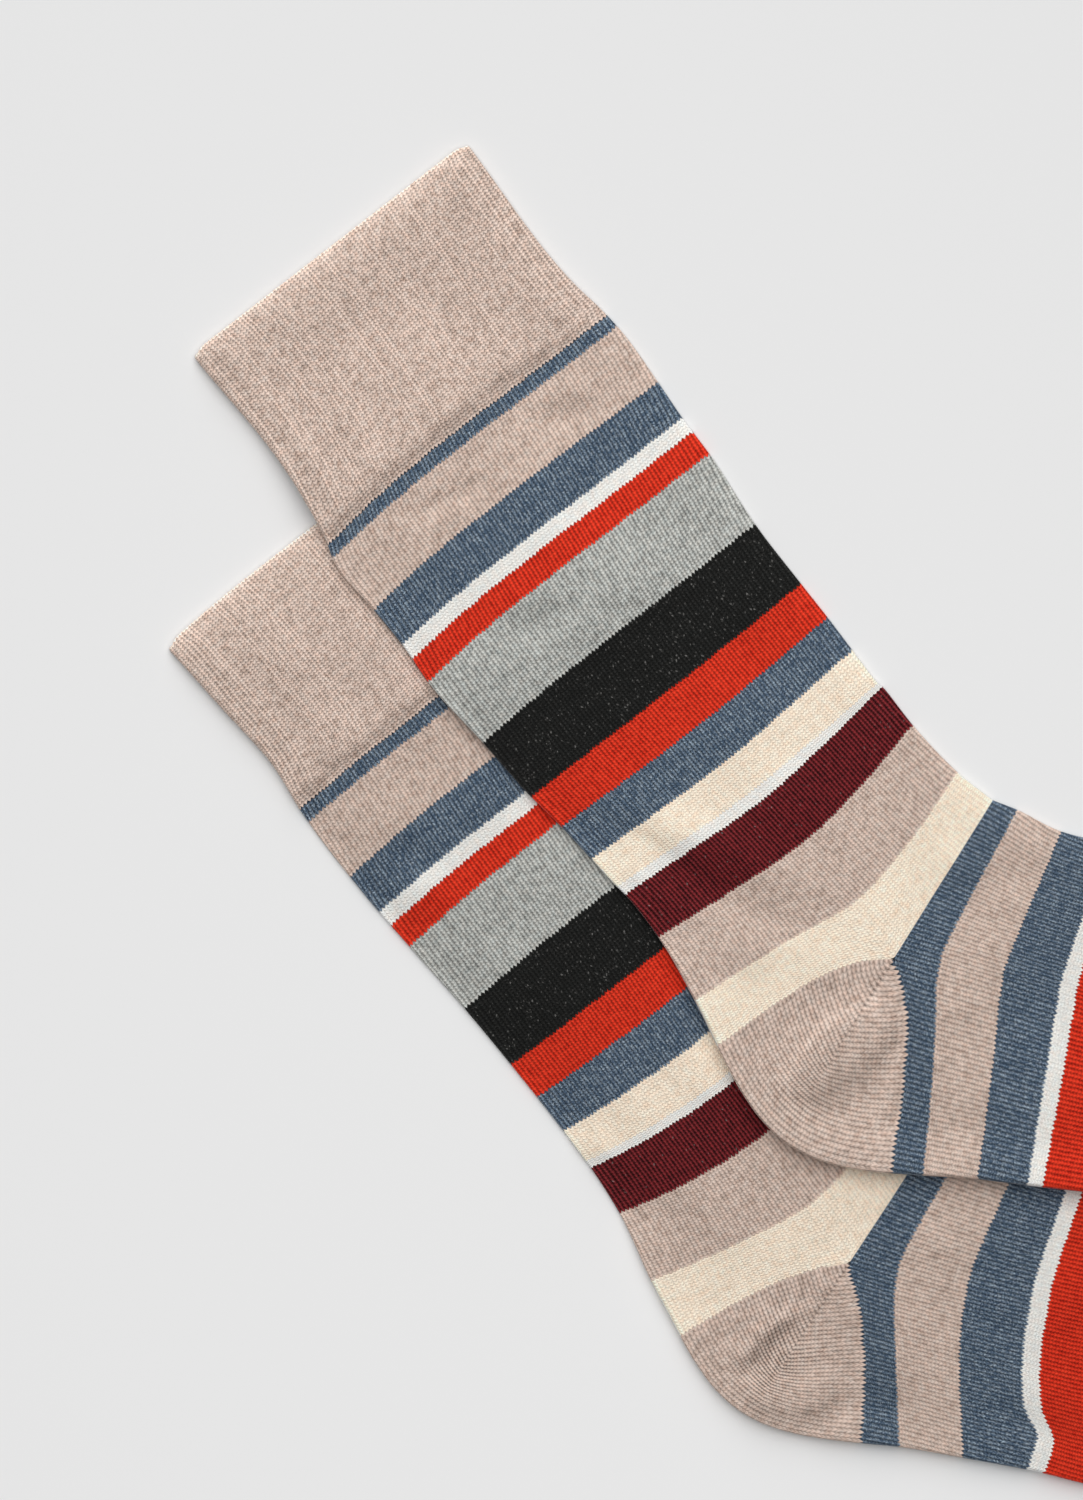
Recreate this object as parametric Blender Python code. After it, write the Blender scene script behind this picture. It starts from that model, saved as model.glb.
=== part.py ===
"""A pair of striped crew socks, laid flat, the upper sock partly over the lower one.

Each sock is a knitted tube pressed flat: two layers of cloth lie on each other and meet in a
fold along the front (shin and instep) and in a fold along the back (calf, heel and sole).
Five pieces make a sock, as on the knitting machine: the cuff (a turned double welt), the leg,
the heel pocket, the foot and the toe pocket. Every piece is a closed wall of cloth, 0.3 mm
from its neighbour where the real ones are knitted together.

A point of a sock has two coordinates. `wale` runs across the flat sock, 0 at the front fold
and 1 at the back fold. `course` counts the knitted rows, from the rim of the cuff to the end of
the leg, and from the heel to the end of the foot. The tables below give the place of some
courses; all points between them are interpolated. The heel and the toe are fans of courses
round a corner: `reach` runs from that corner (0) to the back fold (1), `turn` from the fan's
first course (0) to its last (1).

Frame: metres, +Z up. The socks lie on the plane Z = 0, toes towards +X, cuffs towards +Y. The
origin is the middle of the pair's bounding box, on that plane.
"""

import math
from dataclasses import dataclass

import bmesh
import bpy
import numpy as np
from mathutils import Matrix

MM = 0.001

# ---- Cloth, in millimetres ----------------------------------------------------------------
WALL = 1.1  # one layer of plain knit
WELT_WALL = 2.0  # the turned welt: two thinner layers, knitted together
LAYER_GAP = 0.3  # between the two layers of a flat sock
SEAM_GAP = 0.3  # between neighbouring pieces
REST_GAP = 0.3  # between the lower sock and the upper one on it

# ---- How finely the shapes are divided ------------------------------------------------------
PANEL_STEPS = 14  # across one layer, from fold to fold
FOLD_STEPS = 3  # round a fold
FAN_STEPS = 8  # from the first to the last course of a heel
TOE_STEPS = 14  # the same for a toe, which turns three times as far
FAN_REACH_STEPS = 7  # from a fan's corner to its fold
HEEL_TIP = 0.05  # a heel pocket starts at this reach, where its corner is still open
FLAT_ROW_SPACING = 24  # most courses between two rows of points of a sock on the table
DRAPED_ROW_SPACING = 10  # the same where it drapes over the other sock

# ---- Knitting plan ---------------------------------------------------------------------------
CUFF_END = 66  # last course of the welt
LEG_END = 267  # last course of the leg, where the heel and the foot begin
FOOT_END = 184  # last course of the foot, where the toe begins

# Colour of every band of courses, as (yarn, last course), from the rim and from the heel.
CUFF_BANDS = (("beige", CUFF_END),)
LEG_BANDS = (
    ("blue", 70),
    ("beige", 90),
    ("blue", 103),
    ("white", 109),
    ("red", 117),
    ("grey", 142),
    ("black", 165),
    ("red", 178),
    ("blue", 191),
    ("cream", 203),
    ("white", 207),
    ("burgundy", 225),
    ("beige", 249),
    ("cream", LEG_END),
)
FOOT_BANDS = (
    ("blue", 13),
    ("beige", 31),
    ("blue", 49),
    ("white", 54),
    ("red", 63),
    ("grey", 88),
    ("black", 111),
    ("red", 124),
    ("blue", 137),
    ("cream", 149),
    ("white", 153),
    ("burgundy", 171),
    ("beige", FOOT_END),
)
POCKET_BANDS = (("beige", 1),)

# Base colour (linear RGB) and roughness of the yarns.
YARNS = {
    "beige": ((0.53, 0.42, 0.36), 0.9),
    "blue": ((0.10, 0.15, 0.23), 0.9),
    "white": ((0.80, 0.81, 0.78), 0.85),
    "red": ((0.62, 0.042, 0.012), 0.85),
    "grey": ((0.36, 0.37, 0.36), 0.9),
    "black": ((0.012, 0.012, 0.011), 0.9),
    "cream": ((0.80, 0.68, 0.53), 0.85),
    "burgundy": ((0.095, 0.012, 0.016), 0.9),
}

# ---- Shapes of the courses, in millimetres ---------------------------------------------------
# Along the piece (from the rim, or from the corner of the heel) and across it (positive to the
# front), at the front fold, in the middle (wale 0.5) and at the back fold. `bend` tells how a
# course gets from its middle to a fold: 0 straight, below 0 level at first and then turning
# away, above 0 turning away at once and then levelling off.
COLUMNS = (
    "course",
    "along_front", "along_middle", "along_back",
    "bend_front", "bend_back",
    "across_front", "across_middle", "across_back",
)
UPPER_LEG = (
    (0, -0.8, -0.8, -0.8, -1.0, -2.0, 42.5, -0.9, -44.2),
    (52, 43.8, 43.8, 44.5, -1.0, -2.0, 42.3, -1.0, -44.2),
    (66, 55.5, 55.5, 58.2, -1.0, -2.0, 44.0, -1.3, -46.5),
    (70, 59.2, 59.3, 61.4, -1.0, -2.0, 44.3, -1.6, -47.6),
    (90, 76.6, 76.0, 78.2, -1.0, -2.0, 43.8, -1.8, -47.3),
    (103, 86.6, 86.7, 88.6, -1.0, -2.0, 43.2, -1.9, -47.0),
    (117, 98.6, 98.6, 100.7, -1.0, -2.0, 43.0, -2.3, -47.6),
    (142, 119.5, 119.8, 121.2, -1.0, -1.5, 41.3, -2.3, -46.0),
    (165, 138.3, 139.2, 139.3, -0.7, -1.0, 41.3, -1.7, -44.7),
    (178, 149.0, 150.6, 149.8, -0.4, -0.8, 41.4, -0.9, -43.3),
    (191, 158.5, 161.1, 160.0, -0.2, -0.5, 41.3, -0.5, -42.4),
    (203, 169.0, 171.0, 169.5, -0.2, -0.2, 41.3, -0.2, -41.6),
    (207, 170.4, 174.4, 172.2, -0.3, -0.1, 41.6, 0.2, -41.2),
    (225, 183.3, 189.8, 186.3, -0.6, -0.3, 41.8, 0.8, -41.1),
    (249, 199.5, 209.6, 204.3, -0.5, 1.2, 43.5, 1.4, -43.6),
    (267, 210.1, 226.2, 216.5, 0.0, 4.0, 46.1, 2.0, -46.1),
)
LOWER_LEG = (
    (0, -0.9, -1.0, 0.4, -1.0, -2.0, 42.4, -1.0, -44.3),
    (24, 19.2, 19.2, 19.8, -1.0, -2.0, 42.8, 0.0, -42.9),
    (52, 41.3, 41.4, 42.0, -1.0, -2.0, 43.3, 0.8, -41.5),
    (66, 52.2, 52.4, 53.4, -1.0, -2.0, 46.0, 1.5, -42.8),
    (70, 56.0, 56.2, 57.2, -1.0, -2.0, 46.8, 1.8, -43.0),
    (90, 72.4, 72.7, 74.4, -1.0, -2.0, 46.8, 1.9, -43.1),
    (103, 83.4, 83.7, 85.1, -1.0, -2.0, 46.5, 1.9, -42.8),
    (117, 95.4, 95.6, 97.5, -1.0, -2.0, 46.4, 2.2, -42.0),
    (142, 116.4, 116.8, 118.1, -1.0, -1.5, 45.4, 2.3, -40.6),
    (165, 135.6, 136.5, 136.3, -0.7, -1.0, 44.8, 2.2, -40.0),
    (178, 146.2, 147.8, 146.7, -0.4, -1.0, 44.0, 1.8, -39.8),
    (191, 156.6, 159.2, 156.7, -0.2, -1.0, 43.4, 1.4, -39.8),
    (203, 167.6, 170.5, 166.3, -0.2, -1.0, 43.0, 1.0, -40.0),
    (207, 169.4, 172.8, 168.3, -0.3, -1.0, 43.0, 0.8, -40.0),
    (225, 182.2, 188.7, 182.3, -0.6, -0.8, 43.0, -0.3, -41.3),
    (249, 199.2, 209.6, 200.4, -0.5, -0.3, 43.6, -1.8, -45.4),
    (267, 210.5, 226.8, 215.7, 0.0, 2.0, 44.3, -3.5, -48.1),
)
# The front of the first course is the end of the leg, so its three front values aren't used.
UPPER_FOOT = (
    (0, 0.0, 0.0, 8.3, 0.0, 5.0, 0.0, 0.0, -52.9),
    (13, 25.1, 11.9, 16.0, 0.0, 1.5, 41.7, -0.6, -52.2),
    (31, 36.2, 27.2, 28.9, 0.0, 2.0, 38.2, -1.2, -51.0),
    (49, 49.2, 42.6, 42.3, 0.0, 0.0, 37.0, -2.2, -50.6),
    (63, 60.5, 54.7, 53.0, -0.5, -1.0, 36.2, -3.2, -50.1),
    (88, 80.5, 76.0, 74.5, -1.0, -1.0, 35.0, -4.6, -49.5),
    (111, 98.8, 95.6, 94.5, -1.0, -1.0, 34.2, -6.0, -49.0),
    (184, 158.0, 158.0, 158.0, -1.0, -1.0, 33.0, -8.0, -47.2),
)
LOWER_FOOT = (
    (0, 0.0, 0.0, 11.2, 0.0, 1.9, 0.0, 0.0, -43.8),
    (13, 27.5, 12.6, 20.5, 0.0, -0.1, 44.6, -0.6, -43.1),
    (31, 39.5, 29.5, 35.9, 0.0, -0.6, 43.6, -1.0, -43.0),
    (49, 53.0, 46.5, 53.0, 0.0, -1.2, 43.0, -1.0, -43.2),
    (63, 64.0, 57.8, 63.8, -0.3, -1.0, 42.8, -0.9, -44.0),
    (88, 83.0, 79.0, 82.5, -1.0, -1.0, 42.4, -0.9, -44.3),
    (111, 101.0, 98.6, 100.6, -1.0, -1.0, 42.0, -0.9, -44.1),
    (184, 160.8, 160.8, 160.8, -1.0, -1.0, 41.0, -0.8, -43.2),
)
TOE_LENGTH = 43.0  # from the end of the foot to the tip
TOE_ROUNDNESS = 2.2  # exponent of the toe's outline: 2 is an ellipse, more is squarer
# Lengths of the handles of a heel's back curve, at the leg and at the foot, as shares of its chord.
HEEL_HANDLES = (0.44, 0.48)
HEEL_LEAD = 4.0  # courses beyond the heel over which the fold's direction is taken
HEEL_STAND_BACK = 1.5  # the heel stands back this much more at its slanted seams than a tube

# ---- How the upper sock lies over the lower one, in millimetres ------------------------------
DRAPE_START = 5.0  # it stays at full height this far past the lower sock's outline
DRAPE_END = 15.0  # and lies on the table from here on
WELT_STEP_START = 4.0  # past the lower sock's welt it stays high this far
WELT_STEP_END = 20.0  # and is down on the thinner leg from here on


def smooth_step(x):
    """0 below 0, 1 above 1, and a smooth S between them."""
    x = np.clip(x, 0.0, 1.0)
    return x * x * (3.0 - 2.0 * x)


def column(table, name, course):
    """A table column at any course: a cubic through the rows, with their mean slopes."""
    rows = np.array(table, float)
    x = rows[:, 0]
    y = rows[:, COLUMNS.index(name)]
    slopes = np.gradient(y, x)
    i = np.clip(np.searchsorted(x, course, side="right") - 1, 0, len(x) - 2)
    width = x[i + 1] - x[i]
    u = (course - x[i]) / width
    keep = y[i] * (1.0 + 2.0 * u) * (1.0 - u) ** 2 + y[i + 1] * u * u * (3.0 - 2.0 * u)
    lean = slopes[i] * u * (1.0 - u) ** 2 - slopes[i + 1] * u * u * (1.0 - u)
    return keep + lean * width


def bent(x, bend):
    """The share of the way from the middle (0) to a fold (1) that a course has turned at x."""
    late = x ** (1.0 - np.minimum(bend, 0.0))
    rate = np.maximum(bend, 1e-6)
    early = (1.0 - np.exp(-rate * x)) / (1.0 - np.exp(-rate))
    return np.where(bend > 0.0, early, late)


def course_points(table, wale, course):
    """Where wales cross courses, in the table's own frame: along, across."""
    wale, course = np.broadcast_arrays(np.asarray(wale, float), np.asarray(course, float))
    aside = np.abs(2.0 * wale - 1.0)
    front = wale < 0.5

    def of_side(name):
        return np.where(
            front,
            column(table, name + "_front", course),
            column(table, name + "_back", course),
        )

    middle = column(table, "along_middle", course)
    along = middle + (of_side("along") - middle) * bent(aside, of_side("bend"))
    centre = column(table, "across_middle", course)
    across = centre + (of_side("across") - centre) * aside
    return np.stack([along, across], axis=-1)


def turned(angle):
    """Matrix from (along, across) to plan X, Y, for a piece that runs at this angle."""
    c = math.cos(math.radians(angle))
    s = math.sin(math.radians(angle))
    return np.array([[c, s], [-s, c]])


def unit(vectors):
    """The same vectors at length 1."""
    return vectors / np.linalg.norm(vectors, axis=-1, keepdims=True)


@dataclass(frozen=True)
class Sock:
    """The plan of one flat sock, in millimetres."""

    name: str
    rim_middle: tuple  # plan X, Y of the middle of the rim
    leg_angle: float  # direction of the leg, rim to heel, in degrees from +X
    foot_angle: float  # direction of the foot, heel to toe
    leg_rows: tuple
    foot_rows: tuple

    def leg(self, wale, course):
        """Plan points of the cuff and the leg."""
        flat = course_points(self.leg_rows, wale, course)
        return flat @ turned(self.leg_angle) + np.array(self.rim_middle)

    def foot_table(self):
        """The foot's rows, with the first course's front taken from the end of the leg."""
        apex = self.leg(0.5, LEG_END)
        start = (self.leg(0.0, LEG_END) - apex) @ turned(self.foot_angle).T
        first = list(self.foot_rows[0])
        first[COLUMNS.index("along_front")] = start[0]
        first[COLUMNS.index("across_front")] = start[1]
        return (tuple(first),) + self.foot_rows[1:]

    def foot(self, wale, course):
        """Plan points of the foot."""
        flat = course_points(self.foot_table(), wale, course)
        return flat @ turned(self.foot_angle) + self.leg(0.5, LEG_END)

    def heel_curve(self, turn):
        """The back fold of the heel: a Bezier curve from the leg's fold to the foot's."""
        start = self.leg(1.0, LEG_END)
        end = self.foot(1.0, 0.0)
        at_leg, at_foot = np.array(HEEL_HANDLES) * np.linalg.norm(end - start)
        leave = start + at_leg * unit(start - self.leg(1.0, LEG_END - HEEL_LEAD))
        arrive = end - at_foot * unit(self.foot(1.0, HEEL_LEAD) - end)
        t = np.asarray(turn, float)[..., None]
        first_half = start * (1 - t) ** 3 + 3 * leave * t * (1 - t) ** 2
        return first_half + 3 * arrive * t * t * (1 - t) + end * t**3

    def heel(self, reach, turn):
        """Plan points of the heel pocket, fanned round its corner on the side of the sock."""
        reach, turn = np.broadcast_arrays(np.asarray(reach, float), np.asarray(turn, float))
        t = turn[..., None]
        chord = self.leg(0.5 + 0.5 * reach, LEG_END) * (1 - t)
        chord = chord + self.foot(0.5 + 0.5 * reach, 0.0) * t
        ends = self.leg(1.0, LEG_END) * (1 - t) + self.foot(1.0, 0.0) * t
        return chord + reach[..., None] * (self.heel_curve(turn) - ends)

    def toe_curve(self, turn):
        """The fold round the toe: half a superellipse, from the sole over the tip to the front."""
        sole = self.foot(1.0, FOOT_END)
        front = self.foot(0.0, FOOT_END)
        angle = math.pi * np.asarray(turn, float)
        power = 2.0 / TOE_ROUNDNESS
        side = -np.sign(np.cos(angle)) * np.abs(np.cos(angle)) ** power
        ahead = np.abs(np.sin(angle)) ** power
        forward = np.array([1.0, 0.0]) @ turned(self.foot_angle)
        middle = (sole + front) / 2
        half = (front - sole) / 2
        return middle + side[..., None] * half + TOE_LENGTH * ahead[..., None] * forward

    def toe(self, reach, turn):
        """Plan points of the toe pocket, fanned round the middle of the foot's last course."""
        reach, turn = np.broadcast_arrays(np.asarray(reach, float), np.asarray(turn, float))
        middle = self.toe_middle()
        return middle + reach[..., None] * (self.toe_curve(turn) - middle)

    def toe_middle(self):
        """The corner of the toe's fan."""
        return (self.foot(1.0, FOOT_END) + self.foot(0.0, FOOT_END)) / 2

    def outline(self):
        """The sock's outline in plan, once round."""
        leg_courses = np.linspace(0.0, LEG_END, 60)
        foot_courses = np.linspace(0.0, FOOT_END, 40)
        turns = np.linspace(0.0, 1.0, 24)
        return np.concatenate([
            self.leg(0.0, leg_courses),
            self.foot(0.0, foot_courses),
            self.toe_curve(turns[::-1]),
            self.foot(1.0, foot_courses[::-1]),
            self.heel_curve(turns[::-1]),
            self.leg(1.0, leg_courses[::-1]),
        ])


UPPER = Sock("upper", (-52.1, 125.5), -52.3, -9.0, UPPER_LEG, UPPER_FOOT)
LOWER = Sock("lower", (-59.1, 53.3), -52.3, -10.0, LOWER_LEG, LOWER_FOOT)


def flat_thickness(wall):
    """Thickness of a flat sock whose cloth has this wall."""
    return 2.0 * wall + LAYER_GAP


# ---- What a sock lies on ---------------------------------------------------------------------
def distance_outside(points, outline):
    """Distance of plan points from an outline, negative inside it."""
    side = np.roll(outline, -1, axis=0) - outline
    away = points[..., None, :] - outline
    share = np.clip((away * side).sum(-1) / np.maximum((side * side).sum(-1), 1e-9), 0, 1)
    nearest = np.linalg.norm(away - share[..., None] * side, axis=-1).min(axis=-1)
    ahead = away[..., 1] <= 0
    ahead_next = away[..., 1] - side[..., 1] <= 0
    crosses = ahead != ahead_next
    safe = np.where(side[..., 1] == 0, 1.0, side[..., 1])
    right = away[..., 1] * side[..., 0] / safe > away[..., 0]
    inside = (crosses & right).sum(axis=-1) % 2 == 1
    return np.where(inside, -nearest, nearest)


def on_table(points):
    """The lower sock lies on the table all over."""
    return np.zeros(points.shape[:-1])


def over_lower_sock(points):
    """Height under the upper sock: over the lower one, down a slope, and on the table."""
    outside = distance_outside(points, LOWER.outline())
    along = ((points - np.array(LOWER.rim_middle)) @ turned(LOWER.leg_angle).T)[..., 0]
    welt_end = column(LOWER_LEG, "along_back", float(CUFF_END))
    on_leg = smooth_step((along - welt_end - WELT_STEP_START) / (WELT_STEP_END - WELT_STEP_START))
    top = flat_thickness(WELT_WALL) + on_leg * (flat_thickness(WALL) - flat_thickness(WELT_WALL))
    held = smooth_step((DRAPE_END - outside) / (DRAPE_END - DRAPE_START))
    return (top + REST_GAP) * held


# ---- Sections --------------------------------------------------------------------------------
def fold_steps():
    """The points round a fold, between its flat sides: reach outwards and height."""
    angle = np.linspace(0.0, math.pi, FOLD_STEPS + 1)[1:-1]
    return np.sin(angle), np.cos(angle)


def tube_section():
    """Once round a flat tube: wale, reach past the back (+) or front (-) fold, height (-1..1)."""
    across = np.linspace(0.0, 1.0, PANEL_STEPS + 1)
    out, up = fold_steps()
    flat = np.zeros_like(across)
    wale = np.concatenate([across, np.ones_like(out), across[::-1], np.zeros_like(out)])
    past = np.concatenate([flat, out, flat, -out])
    height = np.concatenate([flat + 1, up, flat - 1, -up])
    return wale, past, height


def pocket_section(first_reach):
    """From a fan's corner over the top layer, round the fold and back under it."""
    across = np.linspace(first_reach, 1.0, FAN_REACH_STEPS + 1)
    out, up = fold_steps()
    flat = np.zeros_like(across)
    reach = np.concatenate([across, np.ones_like(out), across[::-1]])
    past = np.concatenate([flat, out, flat])
    height = np.concatenate([flat + 1, up, flat - 1])
    return reach, past, height


def outward_normals(edge, inside):
    """Normals of a fold's plan points, a row of vectors away from the points inside."""
    along = unit(np.gradient(edge, axis=0))
    normals = np.stack([along[:, 1], -along[:, 0]], axis=-1)
    side = np.sign((normals * (edge - inside)).sum(axis=-1, keepdims=True))
    return (normals * side)[:, None, :]


def lift(plan, past, height, inset, wall, rest_height):
    """Outer and inner wall points of a section, from its plan points.

    The plan points are first drawn in by half the sock's thickness, so that its round folds
    reach the outline. `inset` and `past` hold the vectors of the way in, and of the way out
    again round the fold, for a thickness of 1.
    """
    outer_radius = flat_thickness(wall) / 2
    inner_radius = LAYER_GAP / 2
    centre = plan - inset * outer_radius
    level = rest_height(centre) + outer_radius
    walls = []
    for radius in (outer_radius, inner_radius):
        spot = centre + past * radius
        walls.append(np.concatenate([spot, (level + height * radius)[..., None]], axis=-1))
    return walls


def courses_between(first, last, bands, spacing):
    """Courses at every change of colour from first to last, at most `spacing` courses apart."""
    stops = [first] + [end for _, end in bands if end > first]
    courses = [float(first)]
    for start, end in zip(stops, stops[1:]):
        parts = math.ceil((end - start) / spacing)
        courses += list(np.linspace(start, end, parts + 1)[1:])
    return np.array(courses)


# ---- Pieces ----------------------------------------------------------------------------------
def tube_walls(plan_of, angle, courses, gaps, wall, rest_height):
    """Outer and inner points of a tube, a row for each course.

    `plan_of` gives the plan points, and `gaps` the distance by which the first and the last
    course stand back along `angle` from the neighbouring pieces.
    """
    wale, past, height = tube_section()
    plan = plan_of(wale[None, :], courses[:, None])
    forward = np.array([1.0, 0.0]) @ turned(angle)
    plan[0] += gaps[0] * forward
    plan[-1] -= gaps[1] * forward
    middle = plan_of(0.5, courses)
    back_out = outward_normals(plan[:, np.argmax(wale)], middle)
    front_out = outward_normals(plan[:, 0], middle)
    to_back = np.clip(2 * wale - 1, 0, 1)[:, None]
    to_front = np.clip(1 - 2 * wale, 0, 1)[:, None]
    inset = to_back * back_out + to_front * front_out
    out = np.clip(past, 0, 1)[:, None] * back_out + np.clip(-past, 0, 1)[:, None] * front_out
    return lift(plan, out, height, inset, wall, rest_height)


def pocket_walls(plan_of, steps, first_reach, shifts, rest_height):
    """Outer and inner points of a heel or toe pocket, a row for each course of its fan.

    `shifts` moves the first and the last course off the neighbouring pieces.
    """
    reach, past, height = pocket_section(first_reach)
    turn = np.linspace(0.0, 1.0, steps + 1)
    plan = plan_of(reach[None, :], turn[:, None])
    share = turn[:, None, None]
    plan = plan + (1 - share) * shifts[0] + share * shifts[1]
    outwards = outward_normals(plan_of(1.0, turn), plan_of(0.0, 0.5))
    inset = reach[:, None] * outwards
    return lift(plan, past[:, None] * outwards, height, inset, WALL, rest_height)


def grid_faces(ids, closed):
    """Quads of a grid of vertex ids, wrapped round the columns where it is closed."""
    right = np.roll(ids, -1, axis=1) if closed else ids[:, 1:]
    left = ids if closed else ids[:, :-1]
    quads = np.stack([left[:-1], right[:-1], right[1:], left[1:]], axis=-1)
    return quads.reshape(-1, 4)


def piece_faces(rows, columns, closed, pointed):
    """Faces of a wall between an outer and an inner grid of points.

    A pointed piece has all the rows of its first and last column in one corner.
    """
    outer = np.arange(rows * columns).reshape(rows, columns)
    inner = outer + rows * columns
    if pointed:
        for ids in (outer, inner):
            ids[:, 0] = ids[0, 0]
            ids[:, -1] = ids[0, -1]
    parts = [grid_faces(outer, closed), grid_faces(inner, closed)]
    for row in (0, -1):
        parts.append(grid_faces(np.stack([inner[row], outer[row]]), closed))
    if not closed and not pointed:
        for side in (0, -1):
            parts.append(grid_faces(np.stack([inner[:, side], outer[:, side]]), False))
    faces = [tuple(dict.fromkeys(face)) for face in np.concatenate(parts).tolist()]
    return [face for face in faces if len(face) > 2]


def yarn_material(node, yarn):
    """The node's own material for one yarn."""
    color, roughness = YARNS[yarn]
    material = bpy.data.materials.new(f"{node}_{yarn}")
    material.use_nodes = True
    shader = material.node_tree.nodes["Principled BSDF"]
    shader.inputs["Base Color"].default_value = (*color, 1.0)
    shader.inputs["Roughness"].default_value = roughness
    shader.inputs["Metallic"].default_value = 0.0
    return material


def face_outwards(mesh):
    """Turns all faces of a closed mesh outwards."""
    shell = bmesh.new()
    shell.from_mesh(mesh)
    bmesh.ops.delete(shell, geom=[v for v in shell.verts if not v.link_faces], context="VERTS")
    bmesh.ops.recalc_face_normals(shell, faces=shell.faces)
    shell.to_mesh(mesh)
    shell.free()


def make_piece(name, walls, closed, pointed=False, bands=POCKET_BANDS, courses=None):
    """One node: a closed wall of cloth with its bands of colour."""
    outer, inner = walls
    rows, columns = outer.shape[:2]
    points = np.concatenate([outer.reshape(-1, 3), inner.reshape(-1, 3)]) * MM
    faces = piece_faces(rows, columns, closed, pointed)
    mesh = bpy.data.meshes.new(name)
    mesh.from_pydata(points.tolist(), [], faces)
    face_outwards(mesh)
    for yarn in dict.fromkeys(yarn for yarn, _ in bands):
        mesh.materials.append(yarn_material(name, yarn))
    slots = list(dict.fromkeys(yarn for yarn, _ in bands))
    if courses is not None:
        ends = np.array([end for _, end in bands])
        for face in mesh.polygons:
            row = min(vertex % (rows * columns) // columns for vertex in face.vertices)
            band = int(np.searchsorted(ends, courses[row] + 0.5))
            face.material_index = slots.index(bands[min(band, len(bands) - 1)][0])
    mesh.shade_smooth()
    piece = bpy.data.objects.new(name, mesh)
    bpy.context.scene.collection.objects.link(piece)
    return piece


def make_sock(sock, rest_height, row_spacing):
    """The five pieces of one sock."""
    seam = SEAM_GAP / 2
    leg_forward = np.array([1.0, 0.0]) @ turned(sock.leg_angle)
    foot_forward = np.array([1.0, 0.0]) @ turned(sock.foot_angle)

    cuff_courses = courses_between(0, CUFF_END, CUFF_BANDS, row_spacing)
    walls = tube_walls(
        sock.leg, sock.leg_angle, cuff_courses, (0.0, seam), WELT_WALL, rest_height
    )
    cuff = make_piece(f"{sock.name}_cuff", walls, closed=True, bands=CUFF_BANDS)

    leg_courses = courses_between(CUFF_END, LEG_END, LEG_BANDS, row_spacing)
    walls = tube_walls(sock.leg, sock.leg_angle, leg_courses, (seam, seam), WALL, rest_height)
    leg = make_piece(f"{sock.name}_leg", walls, True, bands=LEG_BANDS, courses=leg_courses)

    foot_courses = courses_between(0, FOOT_END, FOOT_BANDS, row_spacing)
    walls = tube_walls(sock.foot, sock.foot_angle, foot_courses, (seam, seam), WALL, rest_height)
    foot = make_piece(f"{sock.name}_foot", walls, True, bands=FOOT_BANDS, courses=foot_courses)

    stand_back = HEEL_STAND_BACK * seam
    shifts = (stand_back * leg_forward, -stand_back * foot_forward)
    walls = pocket_walls(sock.heel, FAN_STEPS, HEEL_TIP, shifts, rest_height)
    heel = make_piece(f"{sock.name}_heel", walls, closed=False)

    shifts = (seam * foot_forward, seam * foot_forward)
    walls = pocket_walls(sock.toe, TOE_STEPS, 0.0, shifts, rest_height)
    toe = make_piece(f"{sock.name}_toe", walls, closed=False, pointed=True)
    return [cuff, leg, heel, foot, toe]


def centre_on_origin(pieces):
    """Moves the meshes so that the middle of their box is over the origin."""
    points = [np.array([vertex.co[:] for vertex in piece.data.vertices]) for piece in pieces]
    low = np.min([cloud.min(axis=0) for cloud in points], axis=0)
    high = np.max([cloud.max(axis=0) for cloud in points], axis=0)
    middle = (low + high) / 2
    for piece in pieces:
        piece.data.transform(Matrix.Translation((-middle[0], -middle[1], 0.0)))


def main():
    for obj in list(bpy.data.objects):
        bpy.data.objects.remove(obj, do_unlink=True)
    pieces = make_sock(LOWER, on_table, FLAT_ROW_SPACING)
    pieces += make_sock(UPPER, over_lower_sock, DRAPED_ROW_SPACING)
    centre_on_origin(pieces)


main()
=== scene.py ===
"""Looks of a pair of striped crew socks, laid flat, the upper sock partly over the lower one.

Each sock is a knitted tube pressed flat, in the five pieces of its knitting plan: cuff, leg,
heel, foot and toe. A point of a sock has two coordinates. `wale` runs across the flat sock, 0 at
the front fold and 1 at the back fold, and `course` counts the knitted rows from the rim and
again from the heel. The plan places courses from the same named tables as the part's source.
Every piece is a closed wall of cloth whose top layer carries the creases, and its stitches,
stripes and flecks come from a UV map that counts wales and courses.

Lengths are millimetres in the plan and metres in the meshes, +Z up, the cloth resting on Z = 0.
"""

import logging
import math
from dataclasses import dataclass, field
from enum import Enum
from typing import Protocol

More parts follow.
